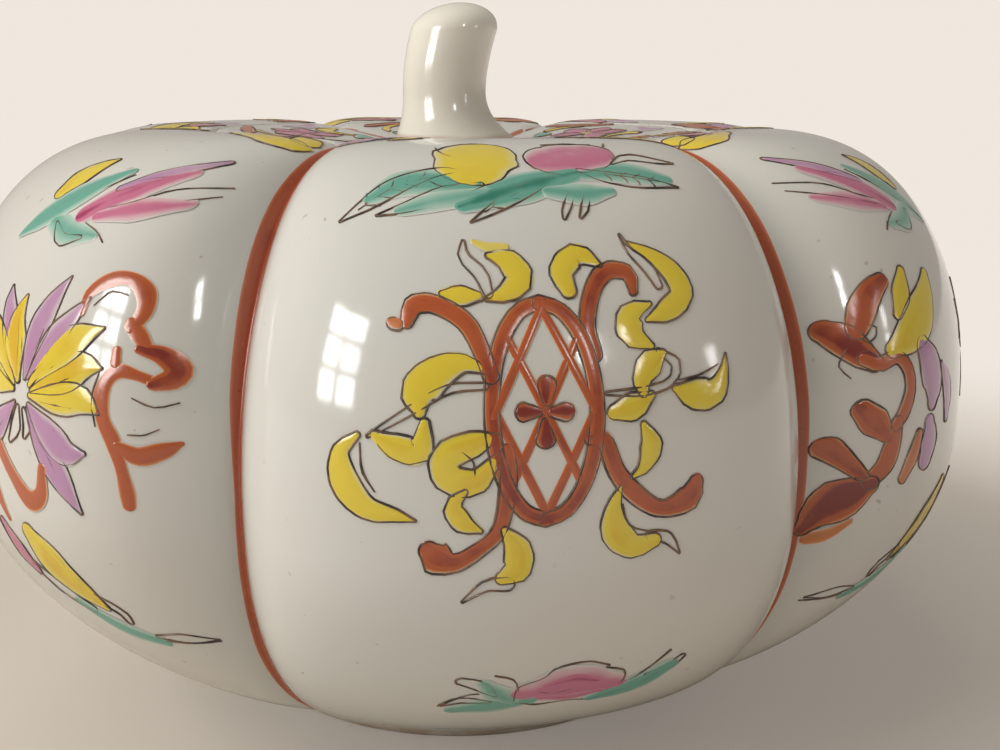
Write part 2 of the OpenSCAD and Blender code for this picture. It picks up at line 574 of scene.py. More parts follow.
class StalkMaker(Maker):
    """Geometry Nodes for the bent stalk: a spreading root, a slim waist and a round tip."""

    ROOT_PART = 0.42
    ROOT_POWER = 2.4
    TIP_PART = 0.2
    FILLET_PART = 0.1
    BEND_POWER = 0.75
    SIDES = 96
    RINGS = 110
    MERGE = 2e-6

    def __init__(self, material: bpy.types.Material) -> None:
        """Builds the tree: a grid rolled into a tube whose radius and lean change up the stalk."""
        super().__init__("Stalk")
        base, height = self.size("Base height"), self.size("Height")
        slim, root, bulge = self.size("Waist radius"), self.size("Root radius"), self.size("Tip bulge")
        bend, fillet = self.size("Bend"), self.size("Glaze fillet")
        place = self.node("ShaderNodeSeparateXYZ", None, {0: self.out("GeometryNodeInputPosition")})
        around = Value(self, place.outputs[0]) * (2 * math.pi)
        share = sine((Value(self, place.outputs[1]) + 0.5) * (math.pi / 2))
        spread = at_least(1 - share / self.ROOT_PART, 0.0) ** self.ROOT_POWER
        pooled = at_least(1 - share / self.FILLET_PART, 0.0) ** 2.0
        tip = at_least((share - 1 + self.TIP_PART) / self.TIP_PART, 0.0)
        rounding = at_least(1 - tip * tip, 0.0) ** 0.5
        radius = (slim + (root - slim) * spread + bulge * share + fillet * pooled) * rounding
        lean = -(bend * sine(share ** self.BEND_POWER * math.pi))
        spot = self.out("ShaderNodeCombineXYZ", None,
                        {0: lean + radius * sine(around), 1: -(radius * cosine(around)),
                         2: base + share * height})
        flat = self.out("GeometryNodeMeshGrid", None,
                        {"Size X": 1.0, "Size Y": 1.0, "Vertices X": self.SIDES + 1,
                         "Vertices Y": self.RINGS + 1})
        tube = self.out("GeometryNodeSetPosition", None, {"Geometry": flat, "Position": spot})
        sealed = self.out("GeometryNodeMergeByDistance", None, {"Geometry": tube, "Distance": self.MERGE})
        self.close(sealed, material)


class LineMaker(Maker):
    """Geometry Nodes for drawn ink: a fine bead carried along the edges of a path mesh."""

    SIDES = 6

    def __init__(self, material: bpy.types.Material) -> None:
        """Builds the tree; the path's vertices hold each line's half width."""
        super().__init__("Drawn line")
        rounding = self.size("Bead roundness")
        width = self.out("GeometryNodeInputNamedAttribute", {"data_type": "FLOAT"}, {"Name": "half_width"})
        curve = self.out("GeometryNodeMeshToCurve", None, {"Mesh": self.entry.outputs["Geometry"]})
        bead = self.out("GeometryNodeCurvePrimitiveCircle", None,
                        {"Resolution": self.SIDES, "Radius": rounding})
        drawn = self.out("GeometryNodeCurveToMesh", None,
                         {0: curve, 1: bead, "Scale": width, "Fill Caps": True})
        self.close(drawn, material)


# ---------------------------------------------------------------- finishes


class Finish(Tree):
    """A material under construction, with one Principled shader."""

    def __init__(self, name: str, **constants: float) -> None:
        """Starts the material and sets what is the same all over on the shader's own sockets."""
        self.material = bpy.data.materials.new(name)
        self.material.use_nodes = True
        super().__init__(self.material.node_tree)
        self.shader = self.tree.nodes["Principled BSDF"]
        for key, constant in constants.items():
            self.shader.inputs[key.replace("_", " ")].default_value = constant

    def feed(self, name: str, source: Value | bpy.types.NodeSocket) -> None:
        """Links a value or a colour to one of the shader's sockets."""
        socket = source.socket if isinstance(source, Value) else source
        self.tree.links.new(socket, self.shader.inputs[name])

    def noise(self, scale: float, detail: float = 2.0) -> Value:
        """Noise on the piece's own coordinates, in features per metre.

        Args:
            scale: how fine the noise is.
            detail: how many finer layers it has.

        Returns:
            The noise.
        """
        sockets = {"Vector": self.out("ShaderNodeTexCoord", output="Object"), "Scale": scale,
                   "Detail": detail}
        return self.value("ShaderNodeTexNoise", None, sockets, "Fac")

    def height(self) -> Value:
        """Height in the piece's own coordinates, in metres."""
        spot = self.out("ShaderNodeTexCoord", output="Object")
        return self.value("ShaderNodeSeparateXYZ", None, {0: spot}, 2)

    def mixed(self, share: Value, low: Colour | bpy.types.NodeSocket,
              high: Colour | bpy.types.NodeSocket) -> bpy.types.NodeSocket:
        """Mixes two colours.

        Args:
            share: 0 gives the first, 1 the second.
            low: the first colour.
            high: the second colour.

        Returns:
            The mixed colour's socket.
        """
        ends = [(*end, 1.0) if isinstance(end, tuple) else end for end in (low, high)]
        return self.out("ShaderNodeMix", {"data_type": "RGBA", "clamp_factor": True},
                        {0: share, 6: ends[0], 7: ends[1]}, 2)

    def bump(self, height: Value, depth: float, strength: float = 1.0) -> None:
        """Raises the surface by a height between 0 and 1.

        Args:
            height: the pattern.
            depth: what a height of 1 stands for, in metres.
            strength: the bump's strength.
        """
        self.feed("Normal", self.out("ShaderNodeBump", None,
                                     {"Height": height, "Distance": depth, "Strength": strength}))

    def attribute(self, name: str) -> Value:
        """A number that the mesh holds at each vertex."""
        return self.value("ShaderNodeAttribute", {"attribute_name": name}, None, "Fac")


@dataclass(frozen=True)
class PorcelainGlaze:
    """Clear gloss over white clay: cooler where it pools in the grooves, with a few iron specks."""

    body: Colour = (0.70, 0.71, 0.69)
    pooled: Colour = (0.55, 0.585, 0.56)
    warm: Colour = (0.72, 0.70, 0.66)
    speck: Colour = (0.30, 0.20, 0.13)

    def material(self, name: str) -> bpy.types.Material:
        """Builds the glaze.

        Args:
            name: the material's name.

        Returns:
            The material.
        """
        glaze = Finish(name, IOR=1.5)
        crown = glaze.attribute("crown")
        drift = glaze.noise(14.0, 3.0)
        clay = glaze.mixed(drift.between(0.35, 0.7), self.body, self.warm)
        pools = (1 - crown.between(0.0, 0.5)) * 0.5
        clouded = glaze.mixed(pools, clay, self.pooled)
        dots = glaze.noise(900.0, 0.0).between(0.81, 0.84)
        patches = glaze.noise(120.0, 0.0).between(0.5, 0.62)
        glaze.feed("Base Color", glaze.mixed(dots * patches * 0.4, clouded, self.speck))
        glaze.feed("Roughness", 0.07 + glaze.noise(60.0, 4.0) * 0.06)
        ripple = glaze.noise(38.0, 1.0) * 0.8 + glaze.noise(420.0, 2.0) * 0.05
        glaze.bump(ripple, 0.35 * MM, 0.6)
        return glaze.material


@dataclass(frozen=True)
class CeladonGlaze:
    """Pale grey-green gloss on the stalk, thinner and lighter where it stands proud."""

    thick: Colour = (0.74, 0.735, 0.66)
    thin: Colour = (0.88, 0.865, 0.79)
    line: Colour = (0.36, 0.21, 0.14)

    def material(self, name: str, root_z: float) -> bpy.types.Material:
        """Builds the glaze.

        Args:
            name: the material's name.
            root_z: height of the stalk's root, where the glaze pools and a brown line is drawn.

        Returns:
            The material.
        """
        glaze = Finish(name, IOR=1.5)
        height = glaze.height() - root_z
        drift = glaze.noise(70.0, 3.0)
        cover = height.between(0.0, 9 * MM) * 0.7 + drift * 0.3
        plain = glaze.mixed(cover, self.thick, self.thin)
        wobble = (drift - 0.5) * (1.6 * MM)
        ring = 1 - size_of(height + wobble - 1.5 * MM).between(0.2 * MM, 1.1 * MM)
        glaze.feed("Base Color", glaze.mixed(ring * 0.55, plain, self.line))
        glaze.feed("Roughness", 0.10 + drift * 0.08)
        glaze.bump(glaze.noise(90.0, 2.0), 0.25 * MM, 0.6)
        return glaze.material


@dataclass(frozen=True)
class BareClay:
    """Unglazed fired clay, warm and matt, with fine throwing marks and grit."""

    clay: Colour = (0.62, 0.55, 0.45)
    toasted: Colour = (0.50, 0.38, 0.27)
    glazed: Colour = (0.68, 0.69, 0.66)

    def material(self, name: str, glaze_from: float, glaze_to: float) -> bpy.types.Material:
        """Builds the clay, which is glazed between two heights.

        Args:
            name: the material's name.
            glaze_from: lowest glazed height in metres.
            glaze_to: highest glazed height.

        Returns:
            The material.
        """
        bare = Finish(name, IOR=1.5)
        level = bare.height() + (bare.noise(120.0, 2.0) - 0.5) * (0.8 * MM)
        edge = 0.15 * MM
        covered = (level.between(glaze_from - edge, glaze_from + edge)
                   * (1 - level.between(glaze_to - edge, glaze_to + edge)))
        burnt = bare.mixed(bare.noise(160.0, 3.0).between(0.42, 0.7), self.clay, self.toasted)
        bare.feed("Base Color", bare.mixed(covered, burnt, self.glazed))
        bare.feed("Roughness", 0.78 - covered * 0.68)
        bare.bump(bare.noise(2600.0, 2.0) * (1 - covered), 0.08 * MM, 0.8)
        return bare.material


class Pigment(Enum):
    """Enamels of the palette: thin wash, full body, darkest pool, roughness."""

    YELLOW = ((0.76, 0.68, 0.24), (0.80, 0.63, 0.05), (0.74, 0.47, 0.02), 0.16)
    TURQUOISE = ((0.40, 0.60, 0.52), (0.14, 0.41, 0.33), (0.03, 0.22, 0.16), 0.14)
    PINK = ((0.70, 0.48, 0.53), (0.58, 0.17, 0.30), (0.38, 0.04, 0.13), 0.15)
    LILAC = ((0.62, 0.50, 0.59), (0.50, 0.27, 0.46), (0.36, 0.13, 0.32), 0.15)
    RED = ((0.68, 0.27, 0.09), (0.47, 0.10, 0.026), (0.22, 0.022, 0.012), 0.20)
    LINE_RED = ((0.56, 0.17, 0.07), (0.41, 0.085, 0.028), (0.27, 0.04, 0.018), 0.26)
    BARE = ((0.0, 0.0, 0.0), (0.0, 0.0, 0.0), (0.0, 0.0, 0.0), 0.0)

    @property
    def label(self) -> str:
        """The pigment's name as a piece uses it."""
        return self.name.lower()

    def material(self, porcelain: Colour) -> bpy.types.Material:
        """Builds the enamel, which thins out to the porcelain under it at its edges.

        Args:
            porcelain: the colour under the thinnest wash.

        Returns:
            The material.
        """
        thin, full, pool, rough = self.value
        paint = Finish("enamel_" + self.label, IOR=1.55)
        streaks = (paint.noise(260.0, 3.0) - 0.5) * 0.8 + (paint.noise(75.0, 2.0) - 0.5) * 1.0
        body = paint.attribute("body") * (1 + streaks)
        wash = paint.mixed(body.between(0.0, 0.16), porcelain, thin)
        covered = paint.mixed(body.between(0.12, 0.5), wash, full)
        paint.feed("Base Color", paint.mixed(body.between(0.72, 1.15), covered, pool))
        paint.feed("Roughness", rough + (1 - body.between(0.1, 0.8)) * 0.08)
        paint.bump(paint.noise(700.0, 2.0), 0.06 * MM, 0.5)
        return paint.material


@dataclass(frozen=True)
class InkFinish:
    """Thin brown-black drawing ink that breaks where the brush ran dry."""

    dark: Colour = (0.035, 0.02, 0.014)
    dry: Colour = (0.20, 0.12, 0.07)
    rough: float = 0.3

    def material(self, name: str) -> bpy.types.Material:
        """Builds the ink.

        Args:
            name: the material's name.

        Returns:
            The material.
        """
        ink = Finish(name, IOR=1.5)
        load = ink.noise(380.0, 3.0).between(0.4, 0.62)
        ink.feed("Base Color", ink.mixed(load, self.dry, self.dark))
        ink.feed("Roughness", self.rough + load * 0.1)
        return ink.material


# ---------------------------------------------------------------- brush work


@dataclass(frozen=True)
class Mark:
    """One filled stroke.

    Attributes:
        pigment: what it is filled with; BARE leaves only its drawn outline.
        spine: (across, up, half width) along its middle, in millimetres.
        drawn: whether ink follows its edge.
        fade: how much thinner the paint gets towards the end of the spine.
        body: how thickly the brush was loaded.
    """

    pigment: Pigment
    spine: Spine
    drawn: bool = True
    fade: float = 0.0
    body: float = 0.8


@dataclass(frozen=True)
class Drawn:
    """A line of ink alone, with its points as in a Mark."""

    spine: Spine


Stroke = Mark | Drawn


@dataclass
class Motif:
    """Strokes that belong together, laid in the order given."""

    strokes: list[Stroke]

    def moved(self, across: float = 0.0, up: float = 0.0, turn: float = 0.0, size: float = 1.0,
              mirror: bool = False) -> "Motif":
        """A copy turned in degrees about its own origin, scaled, mirrored if asked, and shifted.

        Args:
            across: shift across the lobe in millimetres.
            up: shift up the lobe.
            turn: turn in degrees, anticlockwise.
            size: scale.
            mirror: whether left and right change places first.

        Returns:
            The moved motif.
        """
        c, s = math.cos(math.radians(turn)) * size, math.sin(math.radians(turn)) * size
        flip = -1.0 if mirror else 1.0
        strokes = []
        for stroke in self.strokes:
            spine = [(across + c * flip * x - s * y, up + s * flip * x + c * y, w * size)
                     for x, y, w in stroke.spine]
            if isinstance(stroke, Mark):
                strokes.append(Mark(stroke.pigment, spine, stroke.drawn, stroke.fade, stroke.body))
            else:
                strokes.append(Drawn(spine))
        return Motif(strokes)

    def __add__(self, other: "Motif") -> "Motif":
        """Both motifs' strokes."""
        return Motif(self.strokes + other.strokes)


def smooth_spine(spine: Spine, step: float) -> np.ndarray:
    """Runs a smooth curve through a spine's points.

    Args:
        spine: (across, up, half width) points.
        step: spacing of the result in millimetres.

    Returns:
        Rows of across, up and half width, evenly spaced.
    """
    steps, finest = 24, 0.08
    knots = np.array(spine, float)
    padded = np.vstack([2 * knots[0] - knots[1], knots, 2 * knots[-1] - knots[-2]])
    pieces = []
    shares = np.linspace(0, 1, steps, endpoint=False)[:, None]
    for a, b, c, d in zip(padded, padded[1:], padded[2:], padded[3:]):
        pieces.append(0.5 * (2 * b + (c - a) * shares + (2 * a - 5 * b + 4 * c - d) * shares**2
                             + (3 * b - a - 3 * c + d) * shares**3))
    dense = np.vstack(pieces + [knots[-1:]])
    dense[:, 2] = np.maximum(dense[:, 2], finest)
    run = np.concatenate([[0], np.cumsum(np.hypot(*np.diff(dense[:, :2], axis=0).T))])
    count = max(6, int(run[-1] / step))
    even = np.linspace(0, run[-1], count + 1)
    return np.stack([np.interp(even, run, dense[:, i]) for i in range(3)], 1)


class LobeChart:
    """Finds the place on the form of a point given in millimetres on a lobe."""

    STEPS = 3000
    PROBE = 0.05

    def __init__(self, form: RibbedForm) -> None:
        """Measures the crown's profile from the foot to the pad."""
        self.form = form
        self.angles = np.linspace(-float(form.lower_angle(1.0, form.foot_r)), math.pi / 2, self.STEPS)
        r, z = self.outside(np.ones(self.STEPS), self.angles)
        run = np.concatenate([[0], np.cumsum(np.hypot(np.diff(r), np.diff(z)))])
        self.climb = (run - np.interp(0, self.angles, run)) / MM
        self.radius = r

    def outside(self, w: np.ndarray, t: np.ndarray) -> tuple[np.ndarray, np.ndarray]:
        """Radius and height on the outside; t is negative below the waist."""
        upper = self.form.upper_point(w, np.maximum(t, 0))
        lower = self.form.lower_point(w, np.maximum(-t, 0))
        return np.where(t >= 0, upper[0], lower[0]), np.where(t >= 0, upper[1], lower[1])

    def half_width(self, up: np.ndarray | float) -> np.ndarray:
        """Half a lobe's width in millimetres at a height up its crown."""
        return np.interp(up, self.climb, self.radius) / MM * math.pi / self.form.lobes

    def up_at(self, r: float) -> float:
        """How far up the crown a radius on the shoulder is, in millimetres."""
        top = self.angles >= 0
        return float(np.interp(-r, -self.radius[top], self.climb[top]))

    def bare_spot(self, across: np.ndarray, up: np.ndarray, lobe: np.ndarray | float) -> np.ndarray:
        """Points on the surface itself, in metres."""
        u = across / self.half_width(up)
        folded = 1 - np.abs(1 - np.abs(u))
        r, z = self.outside(self.form.crownness(folded), np.interp(up, self.climb, self.angles))
        bearing = (lobe + u / 2) * 2 * math.pi / self.form.lobes
        return np.stack([r * np.sin(bearing), -r * np.cos(bearing), z], -1)

    def spot(self, across: np.ndarray, up: np.ndarray, lobe: np.ndarray | float,
             proud: np.ndarray | float) -> np.ndarray:
        """Points that stand proud of the surface.

        Args:
            across: millimetres from the middle of the crown.
            up: millimetres up the crown from the waist.
            lobe: which lobe, counted round from the front.
            proud: height above the surface in millimetres.

        Returns:
            Points in metres, one row each.
        """
        probe = self.PROBE
        sideways = self.bare_spot(across + probe, up, lobe) - self.bare_spot(across - probe, up, lobe)
        upward = self.bare_spot(across, up + probe, lobe) - self.bare_spot(across, up - probe, lobe)
        facing = np.cross(sideways, upward)
        facing /= np.maximum(np.linalg.norm(facing, axis=-1, keepdims=True), TINY)
        raised = np.asarray(proud, float)[..., None] if np.ndim(proud) else proud
        return self.bare_spot(across, up, lobe) + facing * raised * MM


@dataclass
class Painted:
    """Mesh data of one pigment as it is laid."""

    points: list[np.ndarray] = field(default_factory=list)
    quads: list[np.ndarray] = field(default_factory=list)
    body: list[np.ndarray] = field(default_factory=list)
    count: int = 0

    def add(self, points: np.ndarray, body: np.ndarray) -> None:
        """Adds a grid of points with the paint's thickness at each.

        Args:
            points: rows of stations, each a row of places across the stroke.
            body: thickness between 0 and 1, in the same order.
        """
        along, across = points.shape[:2]
        index = self.count + np.arange(along * across).reshape(along, across)
        corners = [index[:-1, :-1], index[:-1, 1:], index[1:, 1:], index[1:, :-1]]
        self.quads.append(np.stack([c.ravel() for c in corners], 1))
        self.points.append(points.reshape(-1, 3))
        self.body.append(body.ravel())
        self.count += along * across

    def mesh(self, name: str) -> bpy.types.Mesh:
        """Turns what was laid into a mesh whose vertices hold the paint's thickness."""
        mesh = bpy.data.meshes.new(name)
        mesh.from_pydata(np.vstack(self.points).tolist(), [], np.vstack(self.quads).tolist())
        store = mesh.attributes.new("body", "FLOAT", "POINT")
        store.data.foreach_set("value", np.concatenate(self.body).astype(np.float32))
        return mesh


@dataclass
class Inked:
    """Paths of ink lines as they are drawn."""

    points: list[np.ndarray] = field(default_factory=list)
    edges: list[np.ndarray] = field(default_factory=list)
    widths: list[np.ndarray] = field(default_factory=list)
    count: int = 0

    def add(self, points: np.ndarray, widths: np.ndarray, closed: bool) -> None:
        """Adds one line.

        Args:
            points: its points in metres.
            widths: half its width at each, in metres.
            closed: whether it returns to its start.
        """
        index = self.count + np.arange(len(points))
        pairs = np.stack([index, np.roll(index, -1)], 1)
        self.edges.append(pairs if closed else pairs[:-1])
        self.points.append(points)
        self.widths.append(widths)
        self.count += len(points)

    def mesh(self, name: str) -> bpy.types.Mesh:
        """Turns the paths into a mesh of edges whose vertices hold their half widths."""
        mesh = bpy.data.meshes.new(name)
        mesh.from_pydata(np.vstack(self.points).tolist(), np.vstack(self.edges).tolist(), [])
        store = mesh.attributes.new("half_width", "FLOAT", "POINT")
        store.data.foreach_set("value", np.concatenate(self.widths).astype(np.float32))
        return mesh


class Brush:
    """Lays motifs on one body of the jar and keeps each pigment's mesh data.

    Attributes:
        STEP: spacing of a stroke's stations in millimetres.
        ACROSS: how many faces lie across a stroke.
        CAP_STEPS: stations in a stroke's rounded end.
        INK: half the width of a drawn line.
        PROUD: height of a drawn line's middle above the glaze.
        KEPT_STATIONS: share of a stroke's stations that its drawn line keeps.
        LAYERS: how many strokes are laid before the lowest layer comes round again.
        LAYER: height of one layer of enamel.
        FILM: least height of enamel above the glaze.
        DOME: how much higher the middle of a stroke is than its edges.
    """

    STEP = 0.5
    ACROSS = 8
    CAP_STEPS = 10
    INK = 0.14
    PROUD = 0.09 - 0.06
    KEPT_STATIONS = 0.64
    LAYERS = 5
    LAYER = 0.015
    FILM = 0.03
    DOME = 0.10

    def __init__(self, chart: LobeChart, seed: int) -> None:
        """Starts with clean pots of pigment."""
        self.chart = chart
        self.random = np.random.default_rng(seed)
        self.pots: dict[Pigment, Painted] = {}
        self.ink = Inked()
        self.layer = 0

    def wander(self, count: int, size: float) -> np.ndarray:
        """A slow unsteadiness along a line that ends where it starts."""
        turns = np.linspace(0, 2 * math.pi, count, endpoint=False)
        phases = self.random.uniform(0, 2 * math.pi, 4)
        waves = [np.sin(turns * k + phase) / k for k, phase in zip((2, 3, 7, 11), phases)]
        return size * np.sum(waves, 0)

    def edges_of(self, line: np.ndarray) -> tuple[np.ndarray, np.ndarray]:
        """Stations of a stroke with rounded ends, and the direction across it at each.

        Args:
            line: evenly spaced rows of across, up and half width.

        Returns:
            The stations, and a unit vector across the stroke for each.
        """
        heading = np.gradient(line[:, :2], axis=0)
        heading /= np.maximum(np.linalg.norm(heading, axis=1, keepdims=True), TINY)
        first, last = line[0].copy(), line[-1].copy()
        cap = 1 - np.cos(np.linspace(0.12, math.pi / 2, self.CAP_STEPS))[:-1]
        ends = []
        for end, sign, turns in ((first, -heading[0], cap), (last, heading[-1], cap[::-1])):
            ends.append([np.append(end[:2] + sign * end[2] * (1 - c), end[2] * math.sqrt(1 - (1 - c) ** 2))
                         for c in turns])
        lead, tail = ends
        stations = np.vstack([lead, line, tail])
        along = np.vstack([np.repeat(heading[:1], len(lead), 0), heading,
                           np.repeat(heading[-1:], len(tail), 0)])
        return stations, np.stack([-along[:, 1], along[:, 0]], 1)

    def fill(self, mark: Mark, lobe: float) -> None:
        """Lays one filled stroke as a low dome of enamel, and its drawn edge.

        Args:
            mark: the stroke.
            lobe: the lobe that it is laid on.
        """
        self.layer = (self.layer + 1) % self.LAYERS
        stations, sideways = self.edges_of(smooth_spine(mark.spine, self.STEP))
        sways = 1 + self.wander(len(stations), 0.05)
        q = np.sin(np.linspace(-math.pi / 2, math.pi / 2, self.ACROSS + 1))
        half = (stations[:, 2] * sways)[:, None] * q[None, :]
        across = stations[:, 0][:, None] - sideways[:, 0][:, None] * half
        up = stations[:, 1][:, None] - sideways[:, 1][:, None] * half
        if mark.pigment is not Pigment.BARE:
            rim = np.minimum(1 - np.abs(q)[None, :] + 0 * half, 1.0)
            ends = np.clip(stations[:, 2] / max(stations[:, 2].max() * 0.35, 0.1), 0, 1)[:, None]
            fade = 1 - mark.fade * np.linspace(0, 1, len(stations))[:, None]
            washed = mark.pigment in (Pigment.TURQUOISE, Pigment.PINK, Pigment.LILAC) and not mark.drawn
            edge = 1.15 if washed else 2.2
            body = np.clip(rim * edge, 0, 1) * (0.35 + 0.65 * ends) * fade * mark.body
            proud = self.LAYER * self.layer + self.FILM + self.DOME * (1 - q[None, :] ** 2) * ends
            spots = self.chart.spot(across, up, lobe, proud)
            self.pots.setdefault(mark.pigment, Painted()).add(spots, body)
        if mark.drawn:
            shift = self.random.uniform(-0.2, 0.2, 2)
            left = np.stack([across[:, 0], up[:, 0]], 1)
            right = np.stack([across[::-1, -1], up[::-1, -1]], 1)
            self.trace(np.vstack([left, right[1:-1]]) + shift, lobe, self.INK, closed=True)

    def trace(self, flat: np.ndarray, lobe: float, half_width: float, closed: bool,
              pressure: np.ndarray | None = None) -> None:
        """Draws one ink line.

        Args:
            flat: its points on the lobe in millimetres.
            lobe: the lobe that it is drawn on.
            half_width: half the line's width in millimetres.
            closed: whether it returns to its start.
            pressure: a factor on the width at each point.
        """
        swell = 1 + self.wander(len(flat), 0.28)
        widths = half_width * np.clip(swell if pressure is None else swell * pressure, 0.35, 1.6)
        stations = np.linspace(0, len(flat) - 1, max(6, round(len(flat) * self.KEPT_STATIONS)))
        kept = stations.round().astype(int)
        spots = self.chart.spot(flat[kept, 0], flat[kept, 1], lobe, self.PROUD)
        self.ink.add(spots, widths[kept] * MM, closed)

    def paint(self, motif: Motif, lobe: float) -> None:
        """Lays a whole motif on a lobe."""
        for stroke in motif.strokes:
            if isinstance(stroke, Mark):
                self.fill(stroke, lobe)
            else:
                line = smooth_spine(stroke.spine, self.STEP)
                pressure = np.interp(line[:, 2], (0.08, 1.0), (0.6, 1.5))
                self.trace(line[:, :2], lobe, self.INK, False, pressure)


# ---------------------------------------------------------------- motifs


def petals(pigment: Pigment, root: tuple[float, float], tips: Sequence[tuple[float, float, float]],
           fade: float = 0.5, body: float = 0.8) -> Motif:
    """Pointed petals or leaves that share a root.

    Args:
        pigment: their colour.
        root: where they start, in millimetres.
        tips: (across, up, half width) of each tip, where the width is the petal's widest.
        fade: how much paler the tips are.
        body: how thickly they are painted.

    Returns:
        The petals.
    """
    strokes: list[Stroke] = []
    for x, y, width in tips:
        shape = [(root[0] + (x - root[0]) * a, root[1] + (y - root[1]) * a, width * b)
                 for a, b in ((0.12, 0.35), (0.38, 0.85), (0.66, 1.0), (0.88, 0.5), (1.0, 0.1))]
        strokes.append(Mark(pigment, shape, True, fade, body))
    return Motif(strokes)


def trellis_medallion(across: float, up: float, wide: float, tall: float) -> Motif:
    """An oval trellis rosette in iron red, a plain ornament.

    Args:
        across: its middle across the lobe.
        up: its middle up the lobe.
        wide: half its width.
        tall: half its height.

    Returns:
        The medallion.
    """
    turns = np.radians(np.linspace(-90, 90, 9))
    red = Pigment.RED
    strokes: list[Stroke] = []
    for side in (-1, 1):
        for offset in (-0.95, 0.0, 0.95):
            reach = math.sqrt(max(1.9 - offset * offset, 0.0)) / 2
            bar = [(across + wide * (offset / 2 + s), up + side * tall * (s - offset / 2), 0.55)
                   for s in (-reach, 0, reach)]
            strokes.append(Mark(red, bar, False, 0.0, 0.75))
    for side in (-1, 1):
        rim = [(across + side * wide * math.cos(a), up + tall * math.sin(a), 0.85) for a in turns]
        strokes.append(Mark(red, rim, True, 0.0, 0.85))
    for a in range(4):
        c, s = math.cos(a * math.pi / 2), math.sin(a * math.pi / 2)
        bud = [(across + c * 0.8, up + s * 1.2, 0.5), (across + c * 2.2, up + s * 3.0, 1.1)]
        strokes.append(Mark(red, bud, True, 0.0, 1.0))
    return Motif(strokes)


def scroll_arms() -> Motif:
    """Four iron-red scrolls that spring from the medallion's corners."""
    red = Pigment.RED
    return Motif([
        Mark(red, [(-16.5, 27.5, 0.7), (-15.5, 29.5, 1.15), (-13, 29.5, 1.1), (-10, 27.5, 1.0),
                   (-8.5, 24.5, 0.95), (-7.5, 21.5, 0.9)], True, 0.0, 0.85),
        Mark(red, [(-18.1, 27.6, 0.7), (-17.7, 27.5, 0.7)], True, 0.0, 0.35),
        Mark(red, [(9.4, 30.6, 0.5), (9, 32.8, 0.95), (6.5, 33.2, 1.15), (4.6, 31, 1.0), (3.6, 27, 0.9),
                   (4.3, 23.5, 0.8)], True, 0.0, 0.85),
        Mark(red, [(-6, 13.5, 0.8), (-6, 9.5, 0.95), (-7, 4.5, 0.85), (-9.5, 2, 0.9), (-12, 0.6, 1.15),
                   (-14, 1.2, 2.0), (-14.8, 2, 1.2)], True, -0.2, 0.7),
        Mark(red, [(3.4, 14.5, 0.7), (5, 14.2, 0.95), (6.5, 10.5, 1.0), (9, 7.5, 1.1), (12, 5.7, 1.05),
                   (15.4, 6.6, 1.6), (16.4, 8.4, 0.9)], True, 0.0, 0.85),
    ])


